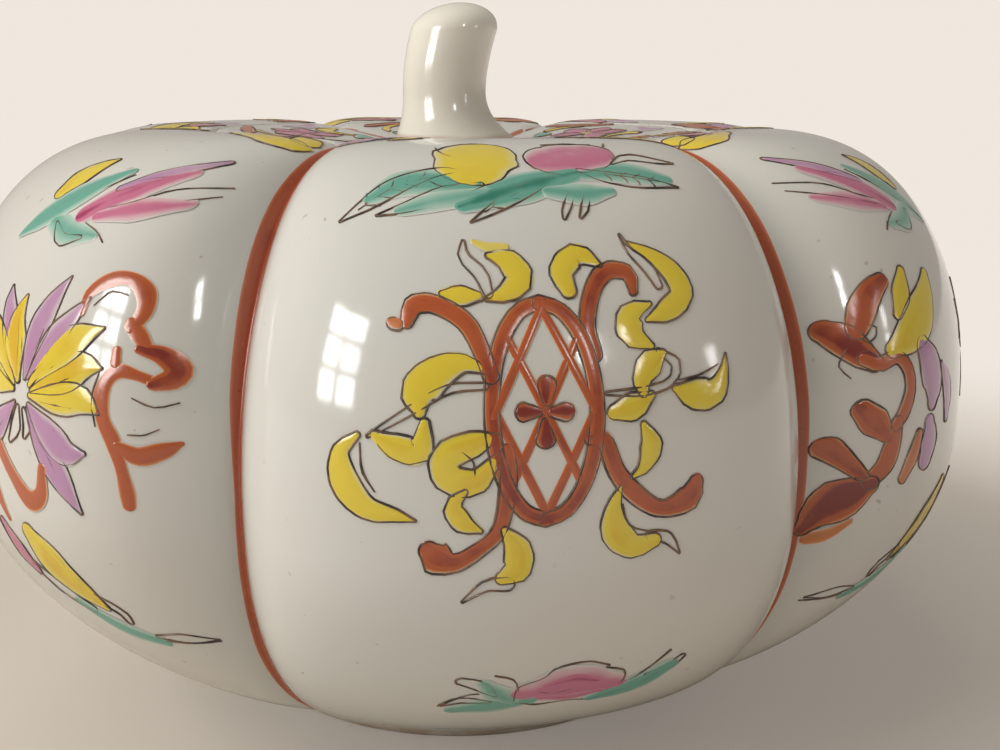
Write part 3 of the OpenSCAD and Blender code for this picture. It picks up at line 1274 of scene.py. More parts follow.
def ribbons() -> Motif:
    """Yellow ribbons that flutter round the medallion, with bare undersides."""
    yellow, bare = Pigment.YELLOW, Pigment.BARE
    left = Motif([
        Mark(yellow, [(-8.4, 37.2, 0.4), (-7, 36.6, 0.7), (-5, 36.6, 0.5)], False, 0.2, 0.4),
        Mark(bare, [(-9.5, 37.5, 0.2), (-9.6, 35.6, 0.6), (-7.9, 33.4, 0.8), (-7.2, 31, 0.5)]),
        Mark(yellow, [(-6.8, 35.4, 0.4), (-4.8, 34.8, 1.5), (-3.6, 32.6, 1.6), (-5.2, 30.9, 1.1),
                      (-7.4, 30.2, 0.3)]),
        Mark(yellow, [(-12.6, 31, 0.4), (-10.7, 30.8, 1.3), (-8.5, 30.7, 0.5)]),
        Mark(yellow, [(-8, 22.3, 0.3), (-10.6, 23.2, 1.1), (-13.4, 22.2, 1.9), (-15.6, 20, 2.0),
                      (-15.6, 17.8, 0.7)]),
        Mark(bare, [(-8.4, 20.6, 0.4), (-12.5, 20.2, 0.5), (-17, 17.7, 0.5), (-21.5, 15, 0.2)]),
        Mark(yellow, [(-21, 15.2, 0.3), (-18.6, 13.8, 1.4), (-15.8, 13.4, 1.5), (-15.1, 16.4, 0.5)]),
        Mark(yellow, [(-22.8, 15, 0.4), (-24.8, 13, 1.1), (-24.4, 9.6, 1.8), (-22, 6.8, 1.4),
                      (-18.6, 6, 0.8), (-16.4, 5.4, 0.1)]),
        Drawn([(-22.4, 14.2, 0.2), (-22.2, 11, 0.6), (-20.8, 8.6, 0.3)]),
        Mark(yellow, [(-7, 15, 0.4), (-9.6, 14.2, 1.5), (-12.6, 12.8, 1.7), (-12.4, 10.4, 1.6),
                      (-9.4, 10, 1.5), (-7.2, 12.4, 0.6)]),
        Drawn([(-11.6, 13.8, 0.2), (-9.8, 12.2, 0.4), (-9.6, 10, 0.2)]),
        Mark(yellow, [(-10.6, 9, 0.3), (-12, 7.4, 1.0), (-11, 5.4, 1.2), (-9, 4.4, 0.3)]),
        Mark(yellow, [(-6.4, 4.2, 0.4), (-4.9, 1.8, 1.6), (-5, -0.6, 1.7), (-6.6, -1.6, 0.8)]),
        Mark(bare, [(-6, -2.2, 0.9), (-8.4, -2.4, 0.7), (-11, -4.4, 0.15)]),
    ])
    right = Motif([
        Mark(yellow, [(5.7, 34.2, 0.3), (3.2, 35.6, 1.4), (1.2, 33.6, 1.5), (1.8, 31.2, 0.9)]),
        Mark(bare, [(8.4, 37.8, 0.1), (9.4, 35.6, 0.4), (11.2, 33.6, 0.7), (12.4, 31.2, 0.5)]),
        Mark(yellow, [(9.2, 36.8, 0.2), (12.2, 35, 0.9), (14.6, 32.6, 1.4), (15.4, 30, 1.5),
                      (13.2, 28.2, 1.3), (10.8, 27.3, 0.3)]),
        Mark(yellow, [(11.2, 29, 0.3), (8.8, 28, 1.4), (8.8, 25.6, 1.5), (11, 24.2, 0.4)]),
        Mark(yellow, [(12.4, 23.4, 0.4), (10.9, 22.4, 1.6), (9.7, 20.6, 1.2), (9.8, 19, 0.5)]),
        Mark(bare, [(11.9, 23.6, 0.3), (14, 22, 0.6), (13.2, 20, 0.5), (10, 19.2, 0.5),
                    (5.5, 19.2, 0.2)]),
        Mark(yellow, [(13.6, 19.2, 0.4), (16, 18.4, 1.8), (18.8, 18.4, 1.7), (20.2, 20.6, 0.7),
                      (20.6, 22.6, 0.1)]),
        Drawn([(14.2, 20.2, 0.2), (17, 20.6, 0.5), (19.6, 21.6, 0.2)]),
        Mark(yellow, [(6.2, 17, 0.9), (8.5, 17.5, 1.6), (10.6, 18.6, 0.5)]),
        Mark(yellow, [(9.7, 15.4, 0.4), (10.6, 13, 1.3), (9.7, 10.6, 0.8), (8.2, 9.5, 0.2)]),
        Mark(yellow, [(7, 8.6, 0.2), (6.2, 6.2, 1.0), (6.5, 3.4, 1.7), (8.6, 1.4, 1.5),
                      (11.2, 1.8, 0.9)]),
        Drawn([(7.2, 6.6, 0.2), (8, 4, 0.5), (10.4, 3, 0.4)]),
        Mark(bare, [(10.4, 2.6, 0.5), (12.6, 2, 0.7), (14.3, -0.1, 0.1)]),
    ])
    return left + right


def feathers(leaf: Spine, count: int, reach: float) -> Motif:
    """Fine ink hatching that leans off a leaf's midrib.

    Args:
        leaf: the midrib's points.
        count: how many pairs of lines.
        reach: how far they reach to each side, in millimetres.

    Returns:
        The hatching and the midrib.
    """
    line = smooth_spine(leaf, 0.4)
    strokes: list[Stroke] = [Drawn([tuple(row) for row in line[::4]])]
    for k in np.linspace(0.12, 0.82, count):
        a = line[int(k * (len(line) - 4))]
        b = line[min(int(k * (len(line) - 4)) + 4, len(line) - 1)]
        dx, dy = (b[:2] - a[:2]) / max(float(np.hypot(*(b[:2] - a[:2]))), 0.1)
        for side in (-1, 1):
            tip = (a[0] + (dx * 1.1 - side * dy) * reach, a[1] + (dy * 1.1 + side * dx) * reach)
            strokes.append(Drawn([(a[0], a[1], 0.2), ((a[0] + tip[0]) / 2 + dx * 0.2, (a[1] + tip[1]) / 2,
                                                      0.4),
                                  (*tip, 0.1)]))
    return Motif(strokes)


def peach_spray() -> Motif:
    """Shoulder spray: a yellow and a pink peach over washed leaves."""
    teal = Pigment.TURQUOISE
    washes = Motif([
        Mark(teal, [(-20, 43.4, 1.0), (-15, 46.4, 2.6), (-8.6, 46.4, 2.2)], False, 0.0, 0.62),
        Mark(teal, [(-16.4, 41.6, 0.9), (-11.6, 43.2, 1.7), (-5.4, 44.6, 1.5)], False, 0.2, 0.42),
        Mark(teal, [(-9, 42.4, 1.2), (-3, 45, 2.7), (3.6, 47.6, 2.2)], False, -0.1, 1.0),
        Mark(teal, [(1.8, 44.6, 1.5), (5.4, 44.2, 2.0), (8.4, 44.4, 1.0)], False, 0.0, 0.45),
        Mark(teal, [(6.4, 48, 1.6), (11, 48.4, 2.6), (16.6, 46.4, 1.2)], False, 0.15, 0.7),
    ])
    leaves = Motif([
        Mark(Pigment.BARE, [(-24.2, 39.9, 0.1), (-20.6, 42.6, 0.9), (-16.4, 46, 1.3),
                            (-11.6, 48.6, 0.9), (-8.6, 48.6, 0.2)]),
        Mark(Pigment.BARE, [(-19.2, 40.9, 0.1), (-15.4, 42.2, 0.8), (-10.6, 44.4, 1.3),
                            (-6.6, 46, 0.4)]),
        Mark(Pigment.BARE, [(-8.6, 39.9, 0.1), (-5.6, 42, 0.7), (-2, 44.6, 1.1), (2.4, 47.4, 0.3)]),
        Mark(Pigment.BARE, [(5.6, 48.8, 0.3), (8.4, 47.4, 1.0), (12.6, 46.2, 1.1), (18.2, 44.9, 0.1)]),
        Mark(Pigment.BARE, [(10, 50.2, 0.2), (12.6, 52, 0.9), (16.8, 50.6, 0.6), (19, 50, 0.1)]),
        Mark(Pigment.BARE, [(3.6, 43.6, 0.4), (2.7, 41.6, 0.5), (2.3, 40.2, 0.2)]),
        Mark(Pigment.BARE, [(5.4, 43.6, 0.3), (4.9, 41.8, 0.5), (4.2, 40.4, 0.2)]),
        Drawn([(-14, 47.8, 0.3), (-11, 45.4, 0.5), (-8.4, 46.6, 0.2)]),
        Drawn([(6.4, 45.4, 0.3), (4.4, 44.2, 0.5), (3.2, 43, 0.3)]),
    ])
    hatching = (feathers([(-21.6, 41.6, 0.2), (-16.4, 45.6, 0.4), (-10.4, 48, 0.2)], 5, 1.3)
                + feathers([(-6.8, 41.4, 0.2), (-1.6, 45, 0.4), (3, 47.8, 0.2)], 4, 1.1)
                + feathers([(7.6, 48, 0.3), (12, 47, 0.4), (16.8, 45.6, 0.1)], 4, 1.1))
    fruit = Motif([
        Mark(Pigment.YELLOW, [(-7.2, 50.2, 4.6), (-6.6, 51.8, 5.3), (-6.0, 53.2, 4.6)], True, 0.1, 0.7),
        Drawn([(-11.0, 55.8, 0.5), (-10.4, 53.4, 0.5), (-8.2, 51.8, 0.3), (-6.6, 51.7, 0.1)]),
        Mark(Pigment.PINK, [(3.6, 51.8, 4.2), (5.2, 52.4, 4.9), (7.0, 52.8, 4.2)], True, -0.9, 0.42),
        Drawn([(10.9, 57.4, 0.8), (10.2, 54.6, 0.5), (10.6, 51, 0.6)]),
        Drawn([(2.4, 57.4, 0.2), (5.4, 57.8, 0.4), (9, 57.2, 0.2)]),
    ])
    return washes + leaves + hatching + fruit


def peony_spray() -> Motif:
    """Foot spray: a pink peony between two washed leaves."""
    teal, pink, bare = Pigment.TURQUOISE, Pigment.PINK, Pigment.BARE
    return Motif([
        Mark(teal, [(-10.6, -27.4, 1.6), (-6.4, -26, 3.0), (-2.4, -24.8, 2.0)], False, -0.1, 0.75),
        Mark(teal, [(-7.6, -19.4, 1.1), (-6, -22, 2.2), (-4.4, -24, 2.2)], False, 0.1, 0.5),
        Mark(teal, [(6.8, -26, 1.2), (11.4, -23.8, 2.6), (16, -19.6, 1.6)], False, 0.1, 0.85),
        Mark(bare, [(-12.6, -25.6, 0.3), (-10.4, -24, 0.9), (-6.8, -24.6, 0.3)]),
        Mark(bare, [(-10.6, -18.6, 0.8), (-8.4, -19.8, 1.1), (-6.2, -22.6, 0.3)]),
        Drawn([(-6.6, -17.4, 0.8), (-4.2, -18.6, 0.4), (-3.2, -22, 0.3)]),
        Drawn([(-13, -26, 0.4), (-10, -22.6, 0.5), (-8, -22, 0.2)]),
        Drawn([(7.4, -24.4, 0.2), (12, -20.6, 0.3), (15.6, -15.6, 0.9)]),
        Mark(bare, [(13.4, -20.6, 0.3), (16.2, -19.6, 0.8), (17.8, -17.6, 0.5)]),
        Mark(pink, [(-1.4, -22.4, 3.2), (2, -21.6, 5.2), (5.4, -21.4, 5.0), (7.8, -21.8, 3.0)], False,
             0.0, 0.62),
        Mark(pink, [(0.4, -20.4, 1.0), (3.4, -19.4, 1.8), (6, -20.2, 1.0)], False, 0.0, 1.0),
        Mark(pink, [(0, -24, 0.8), (3.4, -24.6, 1.1), (7, -23.6, 0.8)], False, 0.0, 0.8),
        Drawn([(-3.6, -24.4, 0.6), (-3.4, -20.6, 0.5), (-0.6, -18.6, 0.3), (1, -16.4, 0.6),
               (4.6, -15.6, 0.4), (7.6, -17, 0.7)]),
        Drawn([(7.2, -17.4, 0.4), (9.8, -18.8, 0.7), (10, -21.6, 0.5), (8.4, -23.6, 0.3)]),
        Drawn([(-3.2, -25, 0.3), (-0.4, -26.6, 0.6), (3.4, -25.8, 0.2), (6.6, -26.4, 0.5),
               (8.4, -24.4, 0.2)]),
        Drawn([(-1.4, -21.8, 0.2), (1.4, -22.8, 0.5), (4, -22, 0.3), (6.4, -22.8, 0.2)]),
    ])


def coral_branch() -> Motif:
    """A knotted iron-red branch that curls down beside the lotus."""
    red = Pigment.RED
    return Motif([
        Mark(red, [(24.4, 25.8, 0.4), (24.4, 28.4, 0.8), (26.4, 30.4, 1.1), (29, 30.8, 0.9),
                   (31.2, 29.4, 1.15), (32, 27.2, 1.0), (31.4, 25, 0.8)], False, 0.0, 0.72),
        Mark(red, [(31.2, 25.4, 0.9), (32.6, 24, 1.0), (33.8, 22.6, 0.7)], False, 0.0, 0.55),
        Mark(red, [(33, 22.6, 0.7), (35.4, 22.2, 1.2), (37.2, 21, 1.5), (37, 19.6, 1.4),
                   (35.4, 18.7, 0.9)], False, 0.0, 1.1),
        Mark(red, [(35.6, 18.8, 0.8), (33.4, 19.4, 0.7), (31.2, 19.6, 1.0), (30, 18.2, 0.9),
                   (29.6, 16, 1.1), (30.2, 13.4, 1.0), (31.6, 10.8, 1.15), (32.6, 7.6, 0.8),
                   (33.2, 4.6, 1.0), (33.4, 2.6, 0.9)], False, 0.0, 0.66),
        Mark(red, [(30.6, 20.6, 0.7), (30.4, 22, 0.6)], False, 0.0, 0.5),
        Mark(red, [(32.2, 10.4, 0.7), (34.6, 9.4, 1.3), (37, 10.4, 1.25), (38.8, 11.6, 0.4)], False,
             0.0, 0.7),
        Drawn([(25.6, 27, 0.2), (27.2, 29, 0.4), (29.4, 28.8, 0.2)]),
        Drawn([(33.2, 16.6, 0.1), (35.8, 15.8, 0.3), (38.2, 16.8, 0.1)]),
        Drawn([(33.2, 12, 0.1), (35, 12.2, 0.3), (36.6, 13.2, 0.1)]),
        Drawn([(33.6, 9.6, 0.2), (35.4, 9, 0.4), (37.6, 10.6, 0.2)]),
        Drawn([(29, 19.8, 0.2), (28.4, 16, 0.4), (29.2, 12.4, 0.2)]),
    ])


def knotted_branch() -> Motif:
    """The lobe's other branch: dark knots and a bulb on a thin winding stem, with two flowers."""
    red, yellow, lilac = Pigment.RED, Pigment.YELLOW, Pigment.LILAC
    return Motif([
        Mark(red, [(-38.6, 23.4, 1.5), (-37, 21.8, 2.2), (-35.6, 19.6, 1.9), (-34.2, 18, 1.3)], True,
             0.0, 1.1),
        Mark(red, [(-35.2, 22.8, 1.4), (-33.4, 25.4, 1.8), (-31.2, 27.4, 1.6), (-29.2, 28.4, 1.1)],
             True, 0.0, 0.85),
        Mark(red, [(-35.2, 18.6, 1.0), (-33.4, 17.4, 1.0), (-30.6, 17.8, 1.0), (-29, 15.8, 1.0),
                   (-28.9, 13, 1.0), (-30.2, 10.2, 1.1), (-31.8, 8.4, 0.9)], True, 0.0, 0.6),
        Mark(red, [(-36.4, 11.4, 1.6), (-35, 9.4, 2.0), (-33.4, 7.2, 1.1)], True, 0.0, 0.95),
        Mark(red, [(-31.8, 8.6, 1.0), (-32.6, 5.4, 1.4), (-33.6, 2.6, 1.5), (-35.6, 0.4, 1.3)], True,
             0.0, 0.7),
        Mark(red, [(-36.8, 1.8, 1.0), (-38.8, 4.4, 1.4), (-40.8, 7, 1.8)], True, 0.0, 0.85),
        Mark(red, [(-35.6, 0, 1.3), (-38.2, -1.2, 2.5), (-41, -2.6, 2.2), (-42.4, -4.4, 0.9)], True,
             0.1, 1.15),
        Mark(red, [(-41.4, -5.8, 0.9), (-39.6, -5.6, 1.0), (-37.4, -4.4, 0.5)], False, 0.0, 0.3),
        Mark(yellow, [(-31, 19, 1.2), (-27.8, 20.2, 2.6), (-24, 22.2, 3.1), (-20.6, 25, 2.3),
                      (-18.4, 27.6, 0.9)], True, 0.0, 0.75),
        Mark(yellow, [(-28.6, 23.4, 0.8), (-26.6, 26, 1.7), (-24.6, 29, 0.7)], True, 0.0, 0.8),
        Mark(lilac, [(-25.2, 18.4, 1.5), (-23.8, 15.6, 3.0), (-23.2, 12.6, 2.8), (-23.8, 10.2, 1.4)],
             True, 0.1, 0.6),
        Mark(lilac, [(-24.6, 7, 1.4), (-24.4, 4.6, 2.4), (-25.2, 2, 1.8)], True, 0.2, 0.6),
        Mark(red, [(-27.2, 6, 0.8), (-28.4, 3, 1.3), (-30.2, 0, 0.8)], True, 0.2, 0.4),
        Mark(lilac, [(-19.6, 14.6, 0.6), (-17.6, 10.6, 1.9), (-18, 6.6, 0.8)], True, 0.2, 0.7),
        Drawn([(-37.4, 16.4, 0.2), (-38.4, 18.4, 0.5), (-37, 20.6, 0.3)]),
        Drawn([(-35.4, 21.6, 0.3), (-34, 20.6, 0.6), (-32.6, 22.2, 0.3), (-34, 23.2, 0.2)]),
    ])


def lotus(across: float, up: float, size: float) -> Motif:
    """An open lotus with yellow and lilac petals.

    Args:
        across: where the petals meet, across the lobe.
        up: where they meet, up the lobe.
        size: scale; 1 is about 26 mm across.

    Returns:
        The flower.
    """
    yellow, lilac, bare = Pigment.YELLOW, Pigment.LILAC, Pigment.BARE
    back = Motif([
        Mark(lilac, [(-1.6, 2.4, 0.3), (-4.4, 7.4, 2.0), (-6.6, 11, 1.4), (-7.4, 13.6, 0.1)], True, 0.3,
             0.55),
        Mark(lilac, [(0.4, 2.6, 0.3), (1.2, 8, 1.9), (2.6, 12.4, 1.5), (4.2, 16.2, 0.1)], True, 0.35,
             0.55),
        Mark(lilac, [(1.2, 2.6, 0.3), (4.4, 7.6, 1.5), (6.6, 10.6, 1.3), (8.6, 13.8, 0.1)], True, 0.35,
             0.45),
    ])
    fans = Motif([
        Mark(yellow, [(1.6, 1.8, 0.4), (5.4, 6, 1.9), (8.4, 8.6, 2.0), (11.6, 10.4, 0.2)], True, 0.1,
             0.8),
        Mark(yellow, [(2.0, 1.2, 0.4), (6.8, 3.6, 2.2), (10, 5.4, 2.0), (12.6, 5.6, 0.2)], True, 0.1,
             0.9),
        Mark(yellow, [(1.8, 0.6, 0.4), (7, 1.0, 2.0), (10.4, 1.4, 2.0), (13.2, 0.2, 0.2)], True, 0.2,
             0.7),
        Mark(yellow, [(-1.8, 1.6, 0.4), (-6, 5.2, 2.2), (-9, 7.6, 1.9), (-11.8, 9.6, 0.2)], True, 0.1,
             0.9),
        Mark(yellow, [(-2, 0.8, 0.4), (-7, 1.6, 2.2), (-10.4, 2.8, 1.9), (-13.2, 2.4, 0.2)], True, 0.1,
             0.75),
        Mark(yellow, [(-1.2, 2.2, 0.5), (-3, 6.4, 2.3), (-3.6, 9.6, 1.7), (-3, 12.8, 0.2)], True, 0.0,
             1.0),
    ])
    low = Motif([
        Mark(lilac, [(1.8, -0.8, 0.3), (5.6, -3.6, 1.9), (8.8, -5.6, 1.9), (11.6, -5.4, 0.3)], True,
             0.3, 0.55),
        Mark(lilac, [(1.4, -1.2, 0.3), (4.6, -5.6, 1.8), (7.4, -9, 1.9), (10.6, -13.4, 0.2)], True, 0.5,
             0.85),
        Mark(lilac, [(-1.6, -1, 0.3), (-5.4, -4.4, 1.9), (-8.6, -7, 1.6), (-11, -9.4, 0.2)], True, 0.3,
             0.7),
        Mark(bare, [(-0.6, -1.4, 0.4), (-1, -4, 1.1), (-2.4, -6, 0.4)]),
        Mark(bare, [(0.6, -1.6, 0.4), (1.4, -3.4, 0.8), (0.8, -5, 0.3)]),
    ])
    veins = Motif([Drawn([(x * 0.3, y * 0.3, 0.1), (x * 0.5 + 0.4, y * 0.5, 0.4),
                          (x * 0.72, y * 0.72, 0.1)])
                   for x, y in ((11.6, 10.4), (12.6, 5.6), (13.2, 0.2), (-11.8, 9.6), (-13.2, 2.4),
                                (-3, 12.8),
                                (10.6, -13.4), (11.6, -5.4), (-11, -9.4), (4.2, 16.2), (8.6, 13.8))])
    return (back + low + fans + veins).moved(across, up, 0.0, size)


def iris_spray() -> Motif:
    """Shoulder spray of the lotus lobes: long pink petals on a washed stem, with a yellow bud."""
    teal, pink, yellow = Pigment.TURQUOISE, Pigment.PINK, Pigment.YELLOW
    return Motif([
        Mark(teal, [(4.4, 34.4, 0.6), (8, 37.6, 2.2), (12, 41.4, 2.6), (16.6, 46.4, 0.9)], False, 0.1,
             0.75),
        Mark(teal, [(11, 37.4, 1.8), (15.6, 35.8, 2.1), (20, 35.8, 1.0)], False, 0.2, 0.45),
        Mark(yellow, [(7.0, 41.8, 1.5), (7.8, 44.4, 2.6), (9.2, 47.0, 1.7), (10.6, 48.8, 0.4)], True,
             0.0, 0.8),
        Mark(pink, [(16.4, 39, 1.8), (20.4, 42.8, 2.5), (25, 46.6, 1.4)], False, 0.6, 1.15),
        Mark(Pigment.LILAC, [(18.4, 43.4, 0.6), (22.4, 46.6, 1.3), (26.8, 50, 0.5)], True, 0.3, 0.5),
        Mark(pink, [(19, 38.6, 1.0), (24, 40.2, 2.0), (29, 41.4, 1.0)], False, 0.5, 0.7),
        Drawn([(4, 34, 0.6), (8, 37, 0.4), (13, 40, 0.2), (18, 46, 0.2)]),
        Drawn([(16, 38.8, 0.3), (22, 41, 0.5), (26, 43.8, 0.3), (31.4, 44.8, 0.2)]),
        Drawn([(18, 38.4, 0.3), (24, 40.4, 0.4), (31.4, 43.2, 0.2)]),
        Drawn([(17, 41, 0.2), (20, 44.6, 0.5), (23.6, 46, 0.4), (22.4, 43.8, 0.3), (18.6, 41.6, 0.2)]),
        Mark(Pigment.BARE, [(12, 37, 0.2), (15, 34.8, 0.9), (18.4, 35.4, 0.3)]),
        Drawn([(17.6, 37.4, 0.2), (20.4, 36.4, 0.5), (22.4, 35, 0.3)]),
    ])


def shell_spray() -> Motif:
    """Foot spray of the lotus lobes: a yellow fan with pink and washed petals."""
    teal, pink, yellow, bare = Pigment.TURQUOISE, Pigment.PINK, Pigment.YELLOW, Pigment.BARE
    return Motif([
        Mark(pink, [(0, -15, 0.8), (2.6, -18.6, 1.9), (5, -21, 1.0)], True, 0.3, 0.7),
        Mark(teal, [(12, -24.6, 1.0), (17, -27.6, 1.8), (22, -28.8, 1.2)], False, 0.1, 0.65),
        Mark(bare, [(5.4, -20.4, 0.8), (9.4, -22.8, 1.4), (14, -25, 0.8)]),
        Mark(yellow, [(7.6, -14.6, 1.6), (10.6, -18, 3.3), (14.6, -21.4, 2.2), (17, -23.6, 0.7)], True,
             0.1, 0.9),
        Drawn([(8.6, -15, 0.2), (11, -18, 0.3), (13.6, -20.6, 0.2)]),
        Drawn([(10, -14.4, 0.2), (13.4, -17.4, 0.3), (16, -20.8, 0.2)]),
        Mark(bare, [(16.6, -22.4, 0.7), (19.4, -24, 0.8), (19.6, -25.8, 0.5)]),
        Mark(bare, [(22, -27.8, 0.3), (25.6, -27.2, 0.9), (29.6, -26.6, 0.1)]),
        Drawn([(22.8, -28.4, 0.3), (26, -28, 0.5), (30, -26.8, 0.3)]),
    ])


def shoulder_ribbons() -> Motif:
    """Ribbons and a red bow that lie across the top of a lobe beside its grooves."""
    yellow, pink, red, lilac = Pigment.YELLOW, Pigment.PINK, Pigment.RED, Pigment.LILAC
    return Motif([
        Mark(lilac, [(2, 70.6, 0.9), (6.6, 69.4, 1.8), (11, 68.6, 0.9)], False, 0.2, 0.6),
        Mark(pink, [(9, 71.4, 0.8), (13.6, 69, 1.7), (18, 66.6, 1.0)], True, -0.2, 0.6),
        Mark(yellow, [(7.6, 68.4, 0.8), (12.6, 66.6, 1.6), (18.6, 63.2, 1.5), (24, 59.6, 1.7),
                      (28.6, 56.4, 0.8)], True, 0.0, 0.75),
        Drawn([(9, 68.6, 0.3), (15, 66, 0.4), (21, 62.4, 0.3)]),
        Mark(yellow, [(20.4, 66, 0.6), (24, 62.6, 1.2), (27.6, 59, 0.6)], True, 0.0, 0.7),
        Mark(red, [(-24, 61.6, 0.8), (-21, 65, 1.5), (-16.6, 68.6, 1.6), (-11, 70.8, 0.9)], True, 0.2,
             0.8),
        Mark(lilac, [(-25.6, 58.6, 0.8), (-21.6, 61.6, 1.8), (-17, 64.6, 1.0)], True, 0.2, 0.6),
        Mark(yellow, [(-16.4, 61.8, 0.7), (-13.6, 65, 1.6), (-12.4, 68.6, 0.7)], True, 0.0, 0.75),
        Drawn([(-23, 59.6, 0.3), (-19.6, 62, 0.5), (-16, 63.4, 0.3)]),
    ])


def lid_lobe() -> Motif:
    """What the lid carries on each lobe: a pink flower between ribbons and brown-red arcs."""
    yellow, red, lilac = Pigment.YELLOW, Pigment.RED, Pigment.LILAC
    flower = petals(Pigment.PINK, (0.5, 85), [(-6.4, 88, 2.4), (-5.4, 80.4, 2.4), (1.6, 78.4, 2.4),
                                              (7.6, 82, 2.4),
                                              (5.4, 89.6, 2.2)], -0.3, 0.5)
    return Motif([
        Mark(lilac, [(-13, 75.4, 0.8), (-9.6, 77.6, 1.9), (-5.6, 76.6, 0.9)], False, 0.2, 0.6),
        Mark(red, [(4.6, 74.8, 0.7), (8.6, 76.4, 1.3), (13.6, 76.6, 1.2), (17, 75, 0.6)], True, 0.1,
             0.7),
    ]) + flower + Motif([
        Mark(yellow, [(0.3, 85.2, 1.1), (0.9, 85.2, 1.1)], True, 0.0, 0.9),
        Mark(yellow, [(-12.6, 80, 0.7), (-9, 82, 1.4), (-7.6, 85.4, 1.0), (-9, 88, 0.4)], True, 0.0,
             0.8),
        Mark(yellow, [(8.6, 78.4, 0.5), (11.6, 80.4, 1.2), (11.4, 83.6, 0.5)], True, 0.0, 0.8),
        Mark(red, [(-6.6, 93, 0.6), (-3.6, 94.8, 1.0), (0.6, 95.4, 1.0), (5, 93.6, 0.6)], True, 0.0,
             0.6),
        Mark(Pigment.TURQUOISE, [(-10.6, 87.4, 0.5), (-8.2, 90.6, 1.3), (-5.6, 92, 0.4)], True, 0.2,
             0.6),
        Mark(Pigment.TURQUOISE, [(7.4, 91, 0.5), (8.4, 88, 1.2), (10.4, 85.6, 0.4)], True, 0.2, 0.6),
    ])


def emblem_lobe() -> Motif:
    """Everything on a lobe that carries the medallion."""
    middle = trellis_medallion(-1.6, 17.6, 5.9, 12.2) + scroll_arms() + ribbons()
    return middle + peach_spray() + peony_spray() + shoulder_ribbons()


def lotus_lobe() -> Motif:
    """Everything on a lobe that carries the lotus."""
    left_branch = coral_branch().moved(-3.0, 0.0, 0.0, 1.0, mirror=True)
    low_branch = Motif([
        Mark(Pigment.RED, [(8.4, 9.6, 0.8), (10.6, 6.4, 1.2), (14, 3.0, 1.3), (17.4, 0.6, 1.5),
                           (20, 1.8, 1.3), (20.6, 5.4, 0.8)], False, 0.0, 0.6),
        Mark(Pigment.RED, [(7.4, 2.6, 0.7), (9, -1, 1.1), (10.6, -3.6, 0.6)], False, 0.0, 0.7),
    ])
    middle = coral_branch() + left_branch + low_branch + lotus(16.2, 14.0, 1.0) + lotus(-13.0, 12.0, 0.7)
    return middle + iris_spray() + shell_spray().moved(8.0, 10.0) + shoulder_ribbons()


def branch_lobe() -> Motif:
    """Everything on the lobe that carries the dark knotted branch."""
    far_side = coral_branch() + lotus(8.0, 13.0, 0.8)
    foot = shell_spray().moved(-8.0, 10.0, mirror=True)
    return (knotted_branch() + far_side + iris_spray().moved(mirror=True) + foot
            + shoulder_ribbons().moved(mirror=True))


# ---------------------------------------------------------------- the pieces


